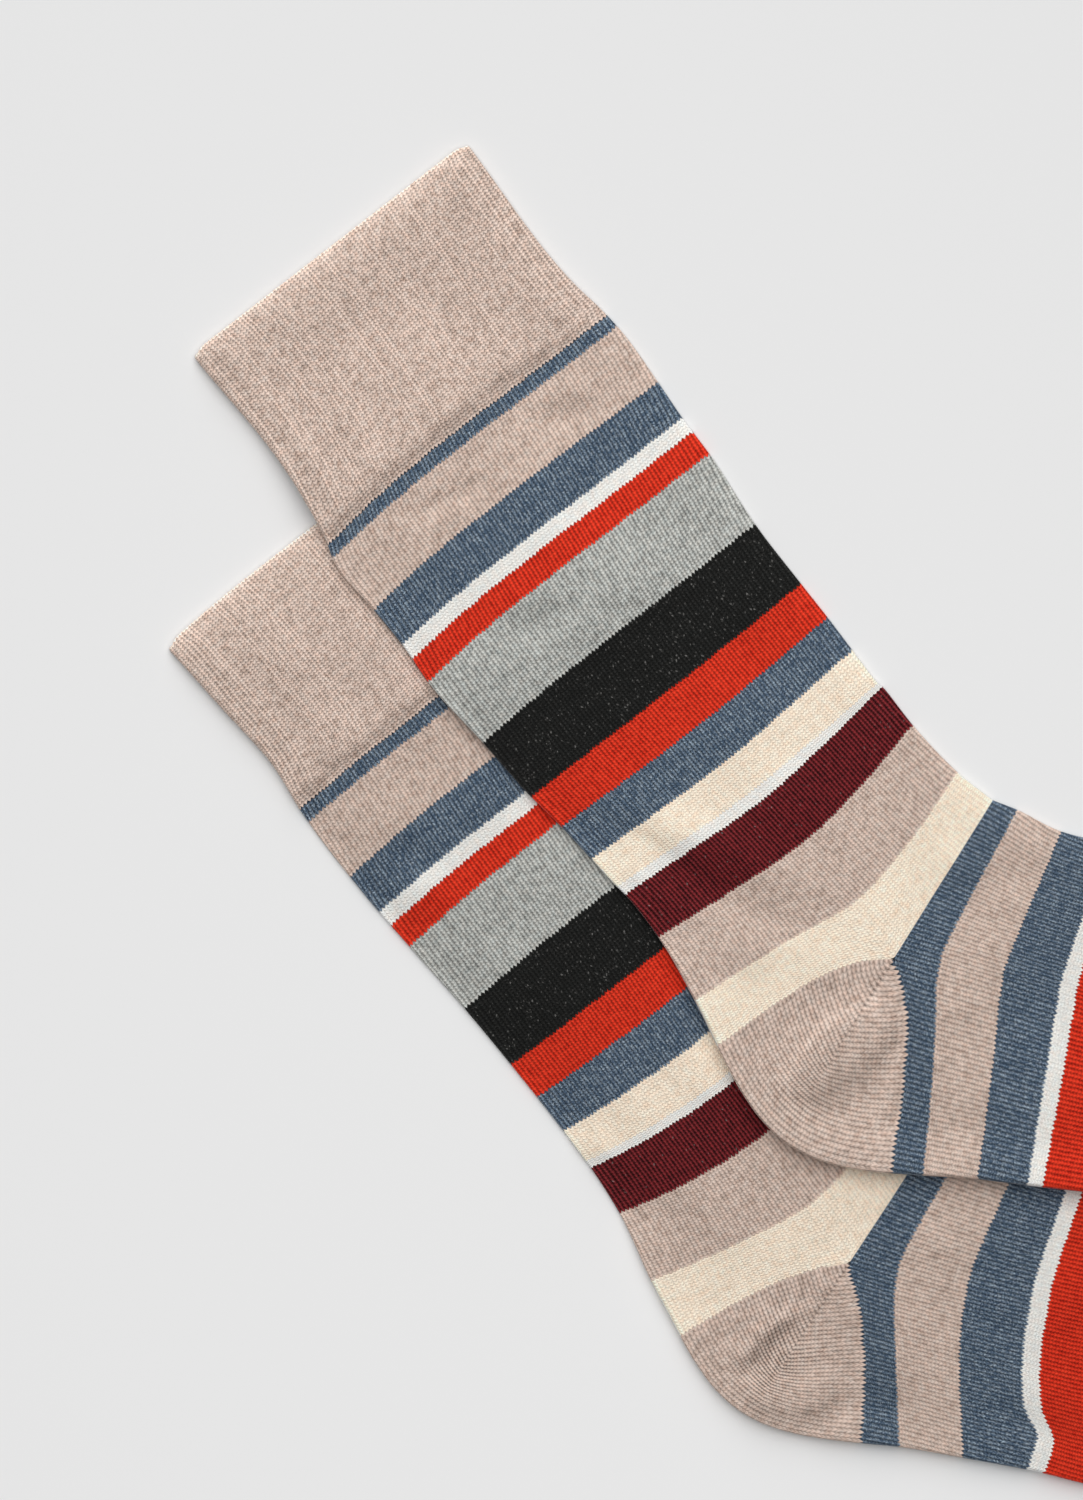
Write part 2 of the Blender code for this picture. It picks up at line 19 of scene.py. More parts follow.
import bpy
import numpy as np
from numpy.typing import NDArray
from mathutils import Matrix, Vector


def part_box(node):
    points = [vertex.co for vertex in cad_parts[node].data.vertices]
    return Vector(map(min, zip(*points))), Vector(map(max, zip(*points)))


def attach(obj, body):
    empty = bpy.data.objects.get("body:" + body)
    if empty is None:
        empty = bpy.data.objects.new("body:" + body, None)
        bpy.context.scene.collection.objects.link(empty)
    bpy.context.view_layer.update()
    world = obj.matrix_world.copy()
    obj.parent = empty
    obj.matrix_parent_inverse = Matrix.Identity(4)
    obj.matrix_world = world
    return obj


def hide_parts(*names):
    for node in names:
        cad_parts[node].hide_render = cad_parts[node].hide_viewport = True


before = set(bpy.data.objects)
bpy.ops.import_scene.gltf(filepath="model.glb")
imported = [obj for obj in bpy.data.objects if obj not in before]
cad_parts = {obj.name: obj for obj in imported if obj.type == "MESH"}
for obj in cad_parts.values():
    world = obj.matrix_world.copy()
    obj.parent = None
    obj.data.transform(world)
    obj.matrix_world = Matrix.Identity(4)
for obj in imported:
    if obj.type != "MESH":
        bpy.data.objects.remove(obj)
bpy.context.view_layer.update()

Array = NDArray[np.float64]
Numbers = NDArray[np.int64]
Coordinate = Array | float
Ends = tuple[Array | None, Array | None]
Points = tuple[tuple[float, float], ...]
Color = tuple[float, float, float]

LOG = logging.getLogger("socks")
MM = 0.001

# ---- Cloth, in millimetres --------------------------------------------------------------------
WALL = 1.1  # one layer of plain knit
WELT_WALL = 2.0  # the turned welt
LAYER_GAP = 0.3  # between the two layers of a flat sock
REST_GAP = 0.3  # between the lower sock and the upper one on it
WELT_FALL_START = 60.5  # course where the welt begins to thin out to plain knit
WELT_BODY_END = 59.0  # course from which its rows lie closer together
WELT_FALL_STEPS = 8  # mesh steps from there to the leg
GRID = 1.25  # spacing of the mesh
TUBE_WIDTH = 88.0  # flat width that a tube's mesh steps are counted for
POCKET_REACH = 46.0  # and the same from a pocket's corner to its fold
FOLD_STEPS = 8  # mesh steps round a fold
FOLD_PRESS = 0.46  # share of its thickness that the cloth loses at a pressed fold
FOLD_PRESS_WIDTH = 6.0  # and how far inside the fold it has it all again
FOLD_SHOULDER = 0.55  # power that makes the upper half of a fold squarer
FOLD_FLAT = 0.4  # how much of its roundness a fold lacks below its middle
PRESSED_FUZZ = 4.0  # how much faster the painted highlight of an edge ends below its outermost line
CAD_FOLD_REACH = 0.866  # the plain solids' folds reach this share of their radius
RIM_STEPS = 6  # mesh steps round the rim

# ---- Knitting plan ----------------------------------------------------------------------------
WALES = 84  # on one flat side
TOOTH = 0.48  # how far a stitch's legs rise from the middle of a wale to its borders, in courses
BAND_TOOTH = 0.85  # the same for the edge of a stripe, where the new yarn pulls the old one up
CUFF_END = 66  # last course of the welt
LEG_END = 267  # last course of the leg, where the heel and the foot begin
FOOT_END = 184  # last course of the foot, where the toe begins
COURSE = 0.85  # height of a course
WALE = 1.05  # width of a wale
NO_GORE = 1000.0  # distance from the gore where there is none
HEEL_TURN_COURSE = 100  # the heel's second half counts its courses up to this one
TEETH_COURSES = 4  # room for the teeth of the next yarn past a piece's last course
CUFF_START = -20  # the welt's band goes on round the rim
OUTLINE_STEPS = (60, 40, 24)  # points of the outline along the leg, along the foot and round an end
TINY = 1e-6  # keeps divisions and logarithms away from 0
# How the wales lean to the back: by these many, between these two courses.
Leans = tuple[tuple[float, int, int], ...]
LEG_LEANS: Leans = ((7.5, 0, 178), (-3.0, 185, LEG_END))
FOOT_LEANS: Leans = ((5.0, -20, 75),)


class Yarn(Enum):
    """The yarns of the stripes."""

    BEIGE = "beige"
    BLUE = "blue"
    WHITE = "white"
    RED = "red"
    GREY = "grey"
    BLACK = "black"
    CREAM = "cream"
    BURGUNDY = "burgundy"


Bands = tuple[tuple[Yarn, int], ...]

LEG_BANDS: Bands = (
    (Yarn.BEIGE, CUFF_END), (Yarn.BLUE, 70), (Yarn.BEIGE, 90), (Yarn.BLUE, 103), (Yarn.WHITE, 109),
    (Yarn.RED, 117), (Yarn.GREY, 142), (Yarn.BLACK, 165), (Yarn.RED, 178), (Yarn.BLUE, 191),
    (Yarn.CREAM, 203), (Yarn.WHITE, 207), (Yarn.BURGUNDY, 225), (Yarn.BEIGE, 249), (Yarn.CREAM, LEG_END),
)
FOOT_BANDS: Bands = (
    (Yarn.BLUE, 13), (Yarn.BEIGE, 31), (Yarn.BLUE, 49), (Yarn.WHITE, 53), (Yarn.RED, 67), (Yarn.GREY, 91),
    (Yarn.BLACK, 114), (Yarn.RED, 127), (Yarn.BLUE, 140), (Yarn.CREAM, 152), (Yarn.WHITE, 156),
    (Yarn.BURGUNDY, 173), (Yarn.BEIGE, FOOT_END),
)


@dataclass(frozen=True)
class YarnLook:
    """How one yarn looks: linear colours, and the amounts that vary it from stitch to stitch."""

    color: Color
    second: Color  # the other fibre of a marl, or the tone that the colour drifts to
    share: float  # mean share of the second colour
    grain: float  # how much that share varies from one leg of a stitch to the next
    patch: float  # how much it varies over patches of a few stitches
    fleck: float  # share of the spots where a pale fleck may sit that have one
    line: float  # painted highlight along the thin line of each wale
    gap: float  # painted shade between the stitches

    def triples(self) -> tuple[Color, Color, Color, Color]:
        """Both colours, then (share, grain, patch) and (fleck, line highlight, gap shade)."""
        mix, detail = (self.share, self.grain, self.patch), (self.fleck, self.line, self.gap)
        return self.color, self.second, mix, detail


YARN_LOOKS: dict[Yarn, YarnLook] = {
    Yarn.BEIGE: YarnLook((0.72, 0.568, 0.487), (0.37, 0.266, 0.214), 0.28, 0.47, 0.3, 0, 0.22, 0.44),
    Yarn.BLUE: YarnLook((0.054, 0.084, 0.128), (0.25, 0.305, 0.36), 0.25, 0.64, 0.2, 0, 0.48, 0.72),
    Yarn.WHITE: YarnLook((0.86, 0.84, 0.79), (0.71, 0.7, 0.68), 0.26, 0.32, 0.3, 0, 0.04, 0.11),
    Yarn.RED: YarnLook((0.72, 0.043, 0.018), (0.45, 0.018, 0.008), 0.31, 0.72, 0.22, 0, 0.5, 0.56),
    Yarn.GREY: YarnLook((0.57, 0.575, 0.54), (0.17, 0.175, 0.165), 0.32, 0.42, 0.2, 0, 0.42, 0.54),
    Yarn.BLACK: YarnLook((0.0102, 0.0104, 0.0098), (0.02, 0.02, 0.019), 0.3, 0.5, 0.14, 0.36, 0.45, 0.52),
    Yarn.CREAM: YarnLook((0.97, 0.835, 0.68), (0.79, 0.64, 0.49), 0.28, 0.4, 0.42, 0, 0.07, 0.15),
    Yarn.BURGUNDY: YarnLook((0.15, 0.0165, 0.019), (0.06, 0.009, 0.011), 0.34, 0.85, 0.22, 0.1, 1.3, 0.92),
}

# How strongly the knit shows, as shares of its brightness or of a stitch.
UNEVEN_BY_WALE = 0.4  # spread of a wale's courses about their place, in courses
UNEVEN_BY_WAVE = 0.3  # the same over larger areas
MARL_BY_LEG = 1.1  # spread of the second colour's share from leg to leg of the stitches
MARL_BY_FIBRE = 4.6  # from fibre to fibre
MARL_BY_PATCH = 4.0  # and over patches
LIGHT_BY_FIBRE = 1.1  # spread of the brightness from fibre to fibre
LIGHT_BY_LEG = 0.5  # spread of the threads' painted highlight and of the gaps' painted shade from leg to leg
LIGHT_BY_AREA = 0.12  # and over larger areas
THREAD_WIDTH = 0.3704  # how far the painted highlight of the thread along a wale reaches to the wale's borders
GORE_WIDTH = 0.4545  # how far from the gore its row of small gaps reaches, in millimetres
LINE_GAIN = 2.6  # painted highlight of the few lines that are left where they gather on some wales
LINE_WALES = (0.5667, 0.7333)  # random numbers from which a wale begins to have one, and has it
LINE_PATCHES = (0.32, 0.52)  # the same for the patches where it shows
ROW_GAP_AT_BORDER = 0.45  # how much deeper the painted shade in the gap between courses gets to a wale's borders
TINT_BY_PATCH = 1.4  # spread of the warm drift over patches
WALE_HOLLOW = 0.7  # how much lower than a stitch's middle its borders lie
FIBRE_HEIGHT = 0.35  # height of the fibres, beside the stitch's
BULGE_OFFSET = 2.5  # millimetres from the gore to the middle of the bulge where it ends
BULGE_WIDTH = 8.0
BULGE_RISE = (54.0, 64.0)  # the wale where there is none of it and the one where it is whole
BULGE_FALL = (82.14, 75.0)  # the same on its side to the fold
GORE_FADE = (64.0, 51.5)  # the same for the gore's row of small gaps
GORE_DARK = 0.5  # their painted shade
WARM_TINT = (0.4, -0.2, -0.5)  # what a warm drift of 1 adds to red, green and blue
PALEST = (0.96, 0.96, 0.96)
FLECK_COLOR = (0.62, 0.60, 0.57, 1.0)
FLECK_STRENGTH = 0.38
FLECK_SHARE = 0.6  # of that colour in a fleck, beside the brightened yarn's
FLECK_GAIN = 4.0  # brightness of the yarn in a fleck
FLECK_CELLS = 1.25  # cells to a wale
FLECK_RADIUS = 0.16  # smallest radius, in cells
FLECK_SPREAD = 0.22  # how much larger the largest one is
FLECK_EDGE = 0.14  # width of the soft edge
FLECK_FADE = 2.6  # power that makes most flecks faint
# Scales of the smooth noises, for a wale and for a course.
Scale = tuple[float, float]
WAVE_SCALE: Scale = (0.09, 0.03)
FIBRE_SCALE: Scale = (3.1, 2.7)
PATCH_SCALE: Scale = (0.42, 0.40)
TINT_SCALE: Scale = (0.8, 0.55)
AREA_SCALE: Scale = (0.06, 0.08)

# ---- Shapes of the courses, in millimetres ----------------------------------------------------
# Along the piece (from the rim, or from the corner of the heel) and across it (positive to the
# front), at the front fold, in the middle (wale 0.5) and at the back fold. `bend` tells how a
# course gets from its middle to a fold: 0 straight, below 0 level at first and then turning
# away, above 0 turning away at once and then levelling off.
COLUMNS = (
    "course", "along_front", "along_middle", "along_back", "bend_front", "bend_back",
    "across_front", "across_middle", "across_back",
)
Rows = tuple[tuple[float, ...], ...]

UPPER_LEG: Rows = (
    (0, -0.8, -0.8, -0.8, -1, -2, 42.5, -0.9, -44.2),
    (52, 43.8, 43.8, 44.5, -1, -2, 42.3, -1, -44.2),
    (66, 55.5, 55.5, 58.2, -1, -2, 44, -1.3, -46.5),
    (70, 59.2, 59.3, 61.4, -1, -2, 44.3, -1.6, -47.6),
    (90, 76.6, 76, 78.2, -1, -2, 43.8, -1.8, -47.3),
    (103, 86.6, 86.7, 88.6, -1, -2, 43.2, -1.9, -47),
    (117, 98.6, 98.6, 100.7, -1, -2, 43, -2.3, -47.6),
    (142, 119.5, 119.8, 121.2, -1, -1.5, 41.3, -2.3, -46),
    (165, 138.3, 139.2, 139.3, -0.7, -1, 41.3, -1.7, -44.7),
    (178, 149, 150.6, 149.8, -0.4, -0.8, 41.4, -0.9, -43.3),
    (191, 158.5, 161.1, 160, -0.2, -0.5, 41.3, -0.5, -42.4),
    (203, 169, 171, 169.5, -0.2, -0.2, 41.3, -0.2, -41.6),
    (207, 170.4, 174.4, 172.2, -0.3, -0.1, 41.6, 0.2, -41.2),
    (225, 183.3, 189.8, 186.3, -0.6, -0.3, 41.8, 0.8, -41.1),
    (249, 199.5, 209.6, 204.3, -0.5, 1.2, 43.5, 1.4, -43.6),
    (267, 210.1, 226.2, 216.5, 0, 4, 46.1, 2, -46.1),
)
LOWER_LEG: Rows = (
    (0, -0.9, -1, 0.4, -1, -2, 42.4, -1, -44.3),
    (24, 19.2, 19.2, 19.8, -1, -2, 42.8, 0, -42.9),
    (52, 41.3, 41.4, 42, -1, -2, 43.3, 0.8, -41.5),
    (66, 52.2, 52.4, 53.4, -1, -2, 46, 1.5, -42.8),
    (70, 56, 56.2, 57.2, -1, -2, 46.8, 1.8, -43),
    (90, 72.4, 72.7, 74.4, -1, -2, 46.8, 1.9, -43.1),
    (103, 83.4, 83.7, 85.1, -1, -2, 46.5, 1.9, -42.8),
    (117, 95.4, 95.6, 97.5, -1, -2, 46.4, 2.2, -42),
    (142, 116.4, 116.8, 118.1, -1, -1.5, 45.4, 2.3, -40.6),
    (165, 135.6, 136.5, 136.3, -0.7, -1, 44.8, 2.2, -40),
    (178, 146.2, 147.8, 146.7, -0.4, -1, 44, 1.8, -39.8),
    (191, 156.6, 159.2, 156.7, -0.2, -1, 43.4, 1.4, -39.8),
    (203, 167.6, 170.5, 166.3, -0.2, -1, 43, 1, -40),
    (207, 169.4, 172.8, 168.3, -0.3, -1, 43, 0.8, -40),
    (225, 182.2, 188.7, 182.3, -0.6, -0.8, 43, -0.3, -41.3),
    (249, 199.2, 209.6, 200.4, -0.5, -0.3, 43.6, -1.8, -45.4),
    (267, 210.5, 226.8, 215.7, 0, 2, 44.3, -3.5, -48.1),
)
# The first course starts from the end of the leg, so its two zeros at the front are replaced.
UPPER_FOOT: Rows = (
    (0, 0, 0, 8.3, 0, 5, 0, 0, -52.9),
    (13, 25.1, 11.9, 16, 0, 1.5, 41.7, -0.6, -52.2),
    (31, 36.2, 27.2, 28.9, 0, 2, 38.2, -1.2, -51),
    (49, 49.2, 42.6, 42.3, 0, 0, 37, -2.2, -50.6),
    (63, 60.5, 54.7, 53, -0.5, -1, 36.2, -3.2, -50.1),
    (88, 80.5, 76, 74.5, -1, -1, 35, -4.6, -49.5),
    (111, 98.8, 95.6, 94.5, -1, -1, 34.2, -6, -49),
    (184, 158, 158, 158, -1, -1, 33, -8, -47.2),
)
LOWER_FOOT: Rows = (
    (0, 0, 0, 11.2, 0, 1.9, 0, 0, -43.8),
    (13, 27.5, 12.6, 20.5, 0, -0.1, 44.6, -0.6, -43.1),
    (31, 39.5, 29.5, 35.9, 0, -0.6, 43.6, -1, -43),
    (49, 53, 46.7, 54.9, 0, -1.2, 43, -1, -43.2),
    (63, 64.4, 58.9, 66.2, -0.3, -1, 42.8, -0.9, -44),
    (88, 83.2, 79.6, 84.4, -1, -1, 42.4, -0.9, -44.3),
    (111, 101, 98.8, 101.6, -1, -1, 42, -0.9, -44.1),
    (184, 160.8, 160.8, 160.8, -1, -1, 41, -0.8, -43.2),
)


def smooth_step(x: Coordinate) -> Array:
    """0 below 0, 1 above 1, and 3x² - 2x³ between them."""
    x = np.clip(x, 0.0, 1.0)
    return x * x * (3.0 - 2.0 * x)


def unit(vectors: Array) -> Array:
    """The same vectors at length 1."""
    return vectors / np.linalg.norm(vectors, axis=-1, keepdims=True)


def alike(*values: Coordinate) -> list[Array]:
    """The same numbers as arrays of one shape."""
    return np.broadcast_arrays(*(np.asarray(value, float) for value in values))


def turned(angle: float) -> Array:
    """Matrix from (along, across) to plan X, Y, for a piece that runs at this angle."""
    c, s = math.cos(math.radians(angle)), math.sin(math.radians(angle))
    return np.array([[c, s], [-s, c]])


def column(table: Rows, name: str, course: Coordinate) -> Array:
    """A table column at any course: a cubic through the rows, with their mean slopes.

    With u the share of the way from row i to row i+1, the value is
    y0(1+2u)(1-u)² + y1 u²(3-2u) + width (m0 u(1-u)² - m1 u²(1-u)).

    Args:
        table: the rows.
        name: the column's name.
        course: where to read it.

    Returns:
        The column's value at each course.
    """
    rows = np.array(table, float)
    x, y = rows[:, 0], rows[:, COLUMNS.index(name)]
    slopes = np.gradient(y, x)
    i = np.clip(np.searchsorted(x, course, side="right") - 1, 0, len(x) - 2)
    width = x[i + 1] - x[i]
    u = (course - x[i]) / width
    keep = y[i] * (1.0 + 2.0 * u) * (1.0 - u) ** 2 + y[i + 1] * u * u * (3.0 - 2.0 * u)
    lean = slopes[i] * u * (1.0 - u) ** 2 - slopes[i + 1] * u * u * (1.0 - u)
    return keep + lean * width


def bent(x: Array, bend: Array) -> Array:
    """Share of the way from the middle (0) to a fold (1) that a course has turned at x.

    x^(1-bend) for a bend below 0, and (1-e^(-bend x))/(1-e^(-bend)) above 0.
    """
    late = x ** (1.0 - np.minimum(bend, 0.0))
    rate = np.maximum(bend, TINY)
    early = (1.0 - np.exp(-rate * x)) / (1.0 - np.exp(-rate))
    return np.where(bend > 0.0, early, late)


def course_points(table: Rows, wale: Coordinate, course: Coordinate, soft: Coordinate = 0.0) -> Array:
    """Where wales cross courses, in the table's own frame.

    Args:
        table: the rows that place the courses.
        wale: 0 at the front fold to 1 at the back fold.
        course: the course number.
        soft: how widely r a course is rounded in its middle, as sqrt(aside² + r²) - r.

    Returns:
        Points (along, across): the middle plus its share of the way to the nearer fold.
    """
    wale, course = alike(wale, course)
    aside = np.abs(2.0 * wale - 1.0)
    rounded = (np.sqrt(aside**2 + soft**2) - soft) / (np.sqrt(1.0 + np.square(soft)) - soft)
    front = wale < 0.5

    def of_side(name: str) -> Array:
        """The column of the fold that each point is nearer to."""
        return np.where(front, column(table, name + "_front", course), column(table, name + "_back", course))

    middle = column(table, "along_middle", course)
    along = middle + (of_side("along") - middle) * bent(rounded, of_side("bend"))
    centre = column(table, "across_middle", course)
    across = centre + (of_side("across") - centre) * aside
    return np.stack([along, across], axis=-1)


@dataclass(frozen=True)
class SockPlan:
    """The plan of one flat sock, in millimetres."""

    name: str
    rim_middle: tuple[float, float]
    leg_angle: float
    foot_angle: float
    leg_rows: Rows
    foot_rows: Rows
    toe_length: float = 43.0
    toe_roundness: float = 2.2  # power of its superellipse
    heel_handles: tuple[float, float] = (0.44, 0.48)  # of its curve, as shares of its chord
    heel_lead: float = 4.0  # courses that its curve takes its directions from
    foot_soft: float = 0.13  # how widely the foot's courses are rounded in their middle
    foot_soft_from: float = 14.0  # from this course on

    def leg_forward(self) -> Array:
        """Direction of the leg, from the rim to the heel."""
        return np.array([1.0, 0.0]) @ turned(self.leg_angle)

    def foot_forward(self) -> Array:
        """Direction of the foot, from the heel to the toe."""
        return np.array([1.0, 0.0]) @ turned(self.foot_angle)

    def leg(self, wale: Coordinate, course: Coordinate) -> Array:
        """Plan points of the cuff and the leg."""
        flat = course_points(self.leg_rows, wale, course)
        return flat @ turned(self.leg_angle) + np.array(self.rim_middle)

    def foot_table(self) -> Rows:
        """The foot's rows, with the first course's front taken from the end of the leg."""
        apex = self.leg(0.5, LEG_END)
        start = (self.leg(0.0, LEG_END) - apex) @ turned(self.foot_angle).T
        first = list(self.foot_rows[0])
        first[COLUMNS.index("along_front")] = float(start[0])
        first[COLUMNS.index("across_front")] = float(start[1])
        return (tuple(first),) + self.foot_rows[1:]

    def foot(self, wale: Coordinate, course: Coordinate) -> Array:
        """Plan points of the foot."""
        soft = self.foot_soft * smooth_step(np.asarray(course, float) / self.foot_soft_from)
        flat = course_points(self.foot_table(), wale, course, soft)
        return flat @ turned(self.foot_angle) + self.leg(0.5, LEG_END)

    def leg_leaves(self) -> Array:
        """Direction of the back fold where it leaves the leg."""
        return unit(self.leg(1.0, LEG_END) - self.leg(1.0, LEG_END - self.heel_lead))

    def foot_arrives(self) -> Array:
        """Direction of the back fold where it reaches the foot."""
        return unit(self.foot(1.0, self.heel_lead) - self.foot(1.0, 0.0))

    def leg_fold(self, wale: float, course: float) -> Array:
        """Direction of a fold of the leg at a course."""
        return self.leg(wale, course + 1) - self.leg(wale, course - 1)

    def front_turn(self) -> Array:
        """Direction of the front fold where the leg ends and the foot begins."""
        return self.foot(0.0, 1.5) - self.leg(0.0, LEG_END - 1.5)

    def foot_end(self, wale: float) -> Array:
        """Direction of a fold of the foot where it reaches the toe."""
        return self.foot(wale, FOOT_END) - self.foot(wale, FOOT_END - 2)

    def heel_curve(self, turn: Array) -> Array:
        """The back fold of the heel: a Bezier curve from the leg's fold to the foot's."""
        start, end = self.leg(1.0, LEG_END), self.foot(1.0, 0.0)
        at_leg, at_foot = np.array(self.heel_handles) * np.linalg.norm(end - start)
        leave = start + at_leg * self.leg_leaves()
        arrive = end - at_foot * self.foot_arrives()
        t = np.asarray(turn, float)[..., None]
        first_half = start * (1 - t) ** 3 + 3 * leave * t * (1 - t) ** 2
        return first_half + 3 * arrive * t * t * (1 - t) + end * t**3

    def heel(self, reach: Coordinate, turn: Coordinate) -> Array:
        """Plan points of the heel pocket, fanned round its corner on the side of the sock."""
        reach, turn = alike(reach, turn)
        t = turn[..., None]
        chord = self.leg(0.5 + 0.5 * reach, LEG_END) * (1 - t)
        chord = chord + self.foot(0.5 + 0.5 * reach, 0.0) * t
        ends = self.leg(1.0, LEG_END) * (1 - t) + self.foot(1.0, 0.0) * t
        return chord + reach[..., None] * (self.heel_curve(turn) - ends)

    def toe_middle(self) -> Array:
        """The corner of the toe's fan."""
        return (self.foot(1.0, FOOT_END) + self.foot(0.0, FOOT_END)) / 2

    def toe_curve(self, turn: Array) -> Array:
        """The fold round the toe: half a superellipse, from the sole over the tip to the front."""
        sole, front = self.foot(1.0, FOOT_END), self.foot(0.0, FOOT_END)
        angle = math.pi * np.asarray(turn, float)
        power = 2.0 / self.toe_roundness
        side = -np.sign(np.cos(angle)) * np.abs(np.cos(angle)) ** power
        ahead = np.abs(np.sin(angle)) ** power
        middle, half = (sole + front) / 2, (front - sole) / 2
        forward = self.foot_forward()
        return middle + side[..., None] * half + self.toe_length * ahead[..., None] * forward

    def toe(self, reach: Coordinate, turn: Coordinate) -> Array:
        """Plan points of the toe pocket, fanned round the middle of the foot's last course."""
        reach, turn = alike(reach, turn)
        middle = self.toe_middle()
        return middle + reach[..., None] * (self.toe_curve(turn) - middle)

    def outline(self) -> Array:
        """The sock's outline in plan, once round."""
        ends = LEG_END, FOOT_END, 1.0
        leg_courses, foot_courses, turns = map(np.linspace, (0.0, 0.0, 0.0), ends, OUTLINE_STEPS)
        return np.concatenate([
            self.leg(0.0, leg_courses),
            self.foot(0.0, foot_courses),
            self.toe_curve(turns[::-1]),
            self.foot(1.0, foot_courses[::-1]),
            self.heel_curve(turns[::-1]),
            self.leg(1.0, leg_courses[::-1]),
        ])


UPPER = SockPlan("upper", (-52.1, 125.5), -52.3, -9.0, UPPER_LEG, UPPER_FOOT)
LOWER = SockPlan("lower", (-59.1, 53.3), -52.3, -10.0, LOWER_LEG, LOWER_FOOT)


def nearest_on(away: Array, side: Array) -> tuple[Array, Array]:
    """Where sides come nearest to points: the share of each side's length, and the distance.

    `away` runs from the start of each side to each point.
    """
    share = np.clip((away * side).sum(-1) / np.maximum((side * side).sum(-1), TINY), 0, 1)
    return share, np.linalg.norm(away - share[..., None] * side, axis=-1)


def distance_outside(points: Array, outline: Array) -> Array:
    """Distance of plan points from an outline, negative inside it.

    The nearest of the distances to all its sides, and the sign from an even-odd crossing count.
    """
    side = np.roll(outline, -1, axis=0) - outline
    away = points[..., None, :] - outline
    nearest = nearest_on(away, side)[1].min(axis=-1)
    crosses = (away[..., 1] <= 0) != (away[..., 1] - side[..., 1] <= 0)
    safe = np.where(side[..., 1] == 0, 1.0, side[..., 1])
    right = away[..., 1] * side[..., 0] / safe > away[..., 0]
    inside = (crosses & right).sum(axis=-1) % 2 == 1
    return np.where(inside, -nearest, nearest)


def flat_thickness(wall: float) -> float:
    """Thickness of a flat sock whose cloth has this wall."""
    return 2.0 * wall + LAYER_GAP


# ---- Creases and rest -------------------------------------------------------------------------
@dataclass(frozen=True)
class Crease:
    """A soft ridge (height above 0) or trough (below 0) along a smooth line through its points."""

    points: Points | Array  # plan X, Y
    width: float  # half width of its bell
    height: float
    fade: float = 0.3  # share of its length over which each end dies away
    power: float = 2.0  # 2 for a bell, 4 for a flat top with steeper sides
    taper: float = 0.0  # share of its width that it loses at its ends

    def line(self) -> Array:
        """The crease's line: a Catmull-Rom curve through the points, 12 steps a span."""
        given = np.array(self.points, float)
        knots = np.concatenate([[2 * given[0] - given[1]], given, [2 * given[-1] - given[-2]]])
        u = np.linspace(0.0, 1.0, 12, endpoint=False)[:, None]
        spans = []
        for a, b, c, d in zip(knots, knots[1:], knots[2:], knots[3:]):
            spans.append(
                0.5 * (2 * b + (c - a) * u + (2 * a - 5 * b + 4 * c - d) * u**2
                       + (3 * b - a - 3 * c + d) * u**3)
            )
        return np.concatenate(spans + [given[-1:]])

    def relief(self, points: Array) -> Array:
        """Height at plan points: height * exp(-(distance/width)^power), faded at both ends.

        The width shrinks by taper * (2s - 1)², with s the share of the way along the line.
        """
        line = self.line()
        side = line[1:] - line[:-1]
        share, distance = nearest_on(points[..., None, :] - line[:-1], side)
        nearest = distance.argmin(axis=-1)
        lengths = np.linalg.norm(side, axis=-1)
        starts = np.concatenate([[0.0], np.cumsum(lengths)])[:-1]
        share = np.take_along_axis(share, nearest[..., None], -1)[..., 0]
        along = (starts[nearest] + share * lengths[nearest]) / lengths.sum()
        ends = smooth_step(along / self.fade) * smooth_step((1.0 - along) / self.fade)
        width = self.width * (1.0 - self.taper * (2.0 * along - 1.0) ** 2)
        bell = np.exp(-(distance.min(axis=-1) / width) ** self.power)
        return self.height * bell * ends


class Ground(Protocol):
    """What a sock lies on."""

    def height(self, points: Array) -> Array:
        """Height under the sock at plan points."""


@dataclass(frozen=True)
class Table:
    """The flat surface under the lower sock."""

    def height(self, points: Array) -> Array:
        """The table is at 0 all over."""
        return np.zeros(points.shape[:-1])


@dataclass(frozen=True)
class LowerSockBelow:
    """The lower sock under the upper one, and the table beside it."""

    drape_start: float = 1.0  # the upper sock stays at full height this far past the outline
    drape_end: float = 34.0  # and lies on the table from here on
    step_start: float = 4.0  # past the lower sock's welt it stays high this far
    step_end: float = 20.0  # and is down on the thinner leg from here on

    def height(self, points: Array) -> Array:
        """Over the lower sock, down a smooth slope, and on the table."""
        outside = distance_outside(points, LOWER.outline())
        along = ((points - np.array(LOWER.rim_middle)) @ turned(LOWER.leg_angle).T)[..., 0]
        welt_end = column(LOWER_LEG, "along_back", float(CUFF_END))
        on_leg = smooth_step((along - welt_end - self.step_start) / (self.step_end - self.step_start))
        welt, leg = flat_thickness(WELT_WALL), flat_thickness(WALL)
        held = smooth_step((self.drape_end - outside) / (self.drape_end - self.drape_start))
        return (welt + on_leg * (leg - welt) + REST_GAP) * held


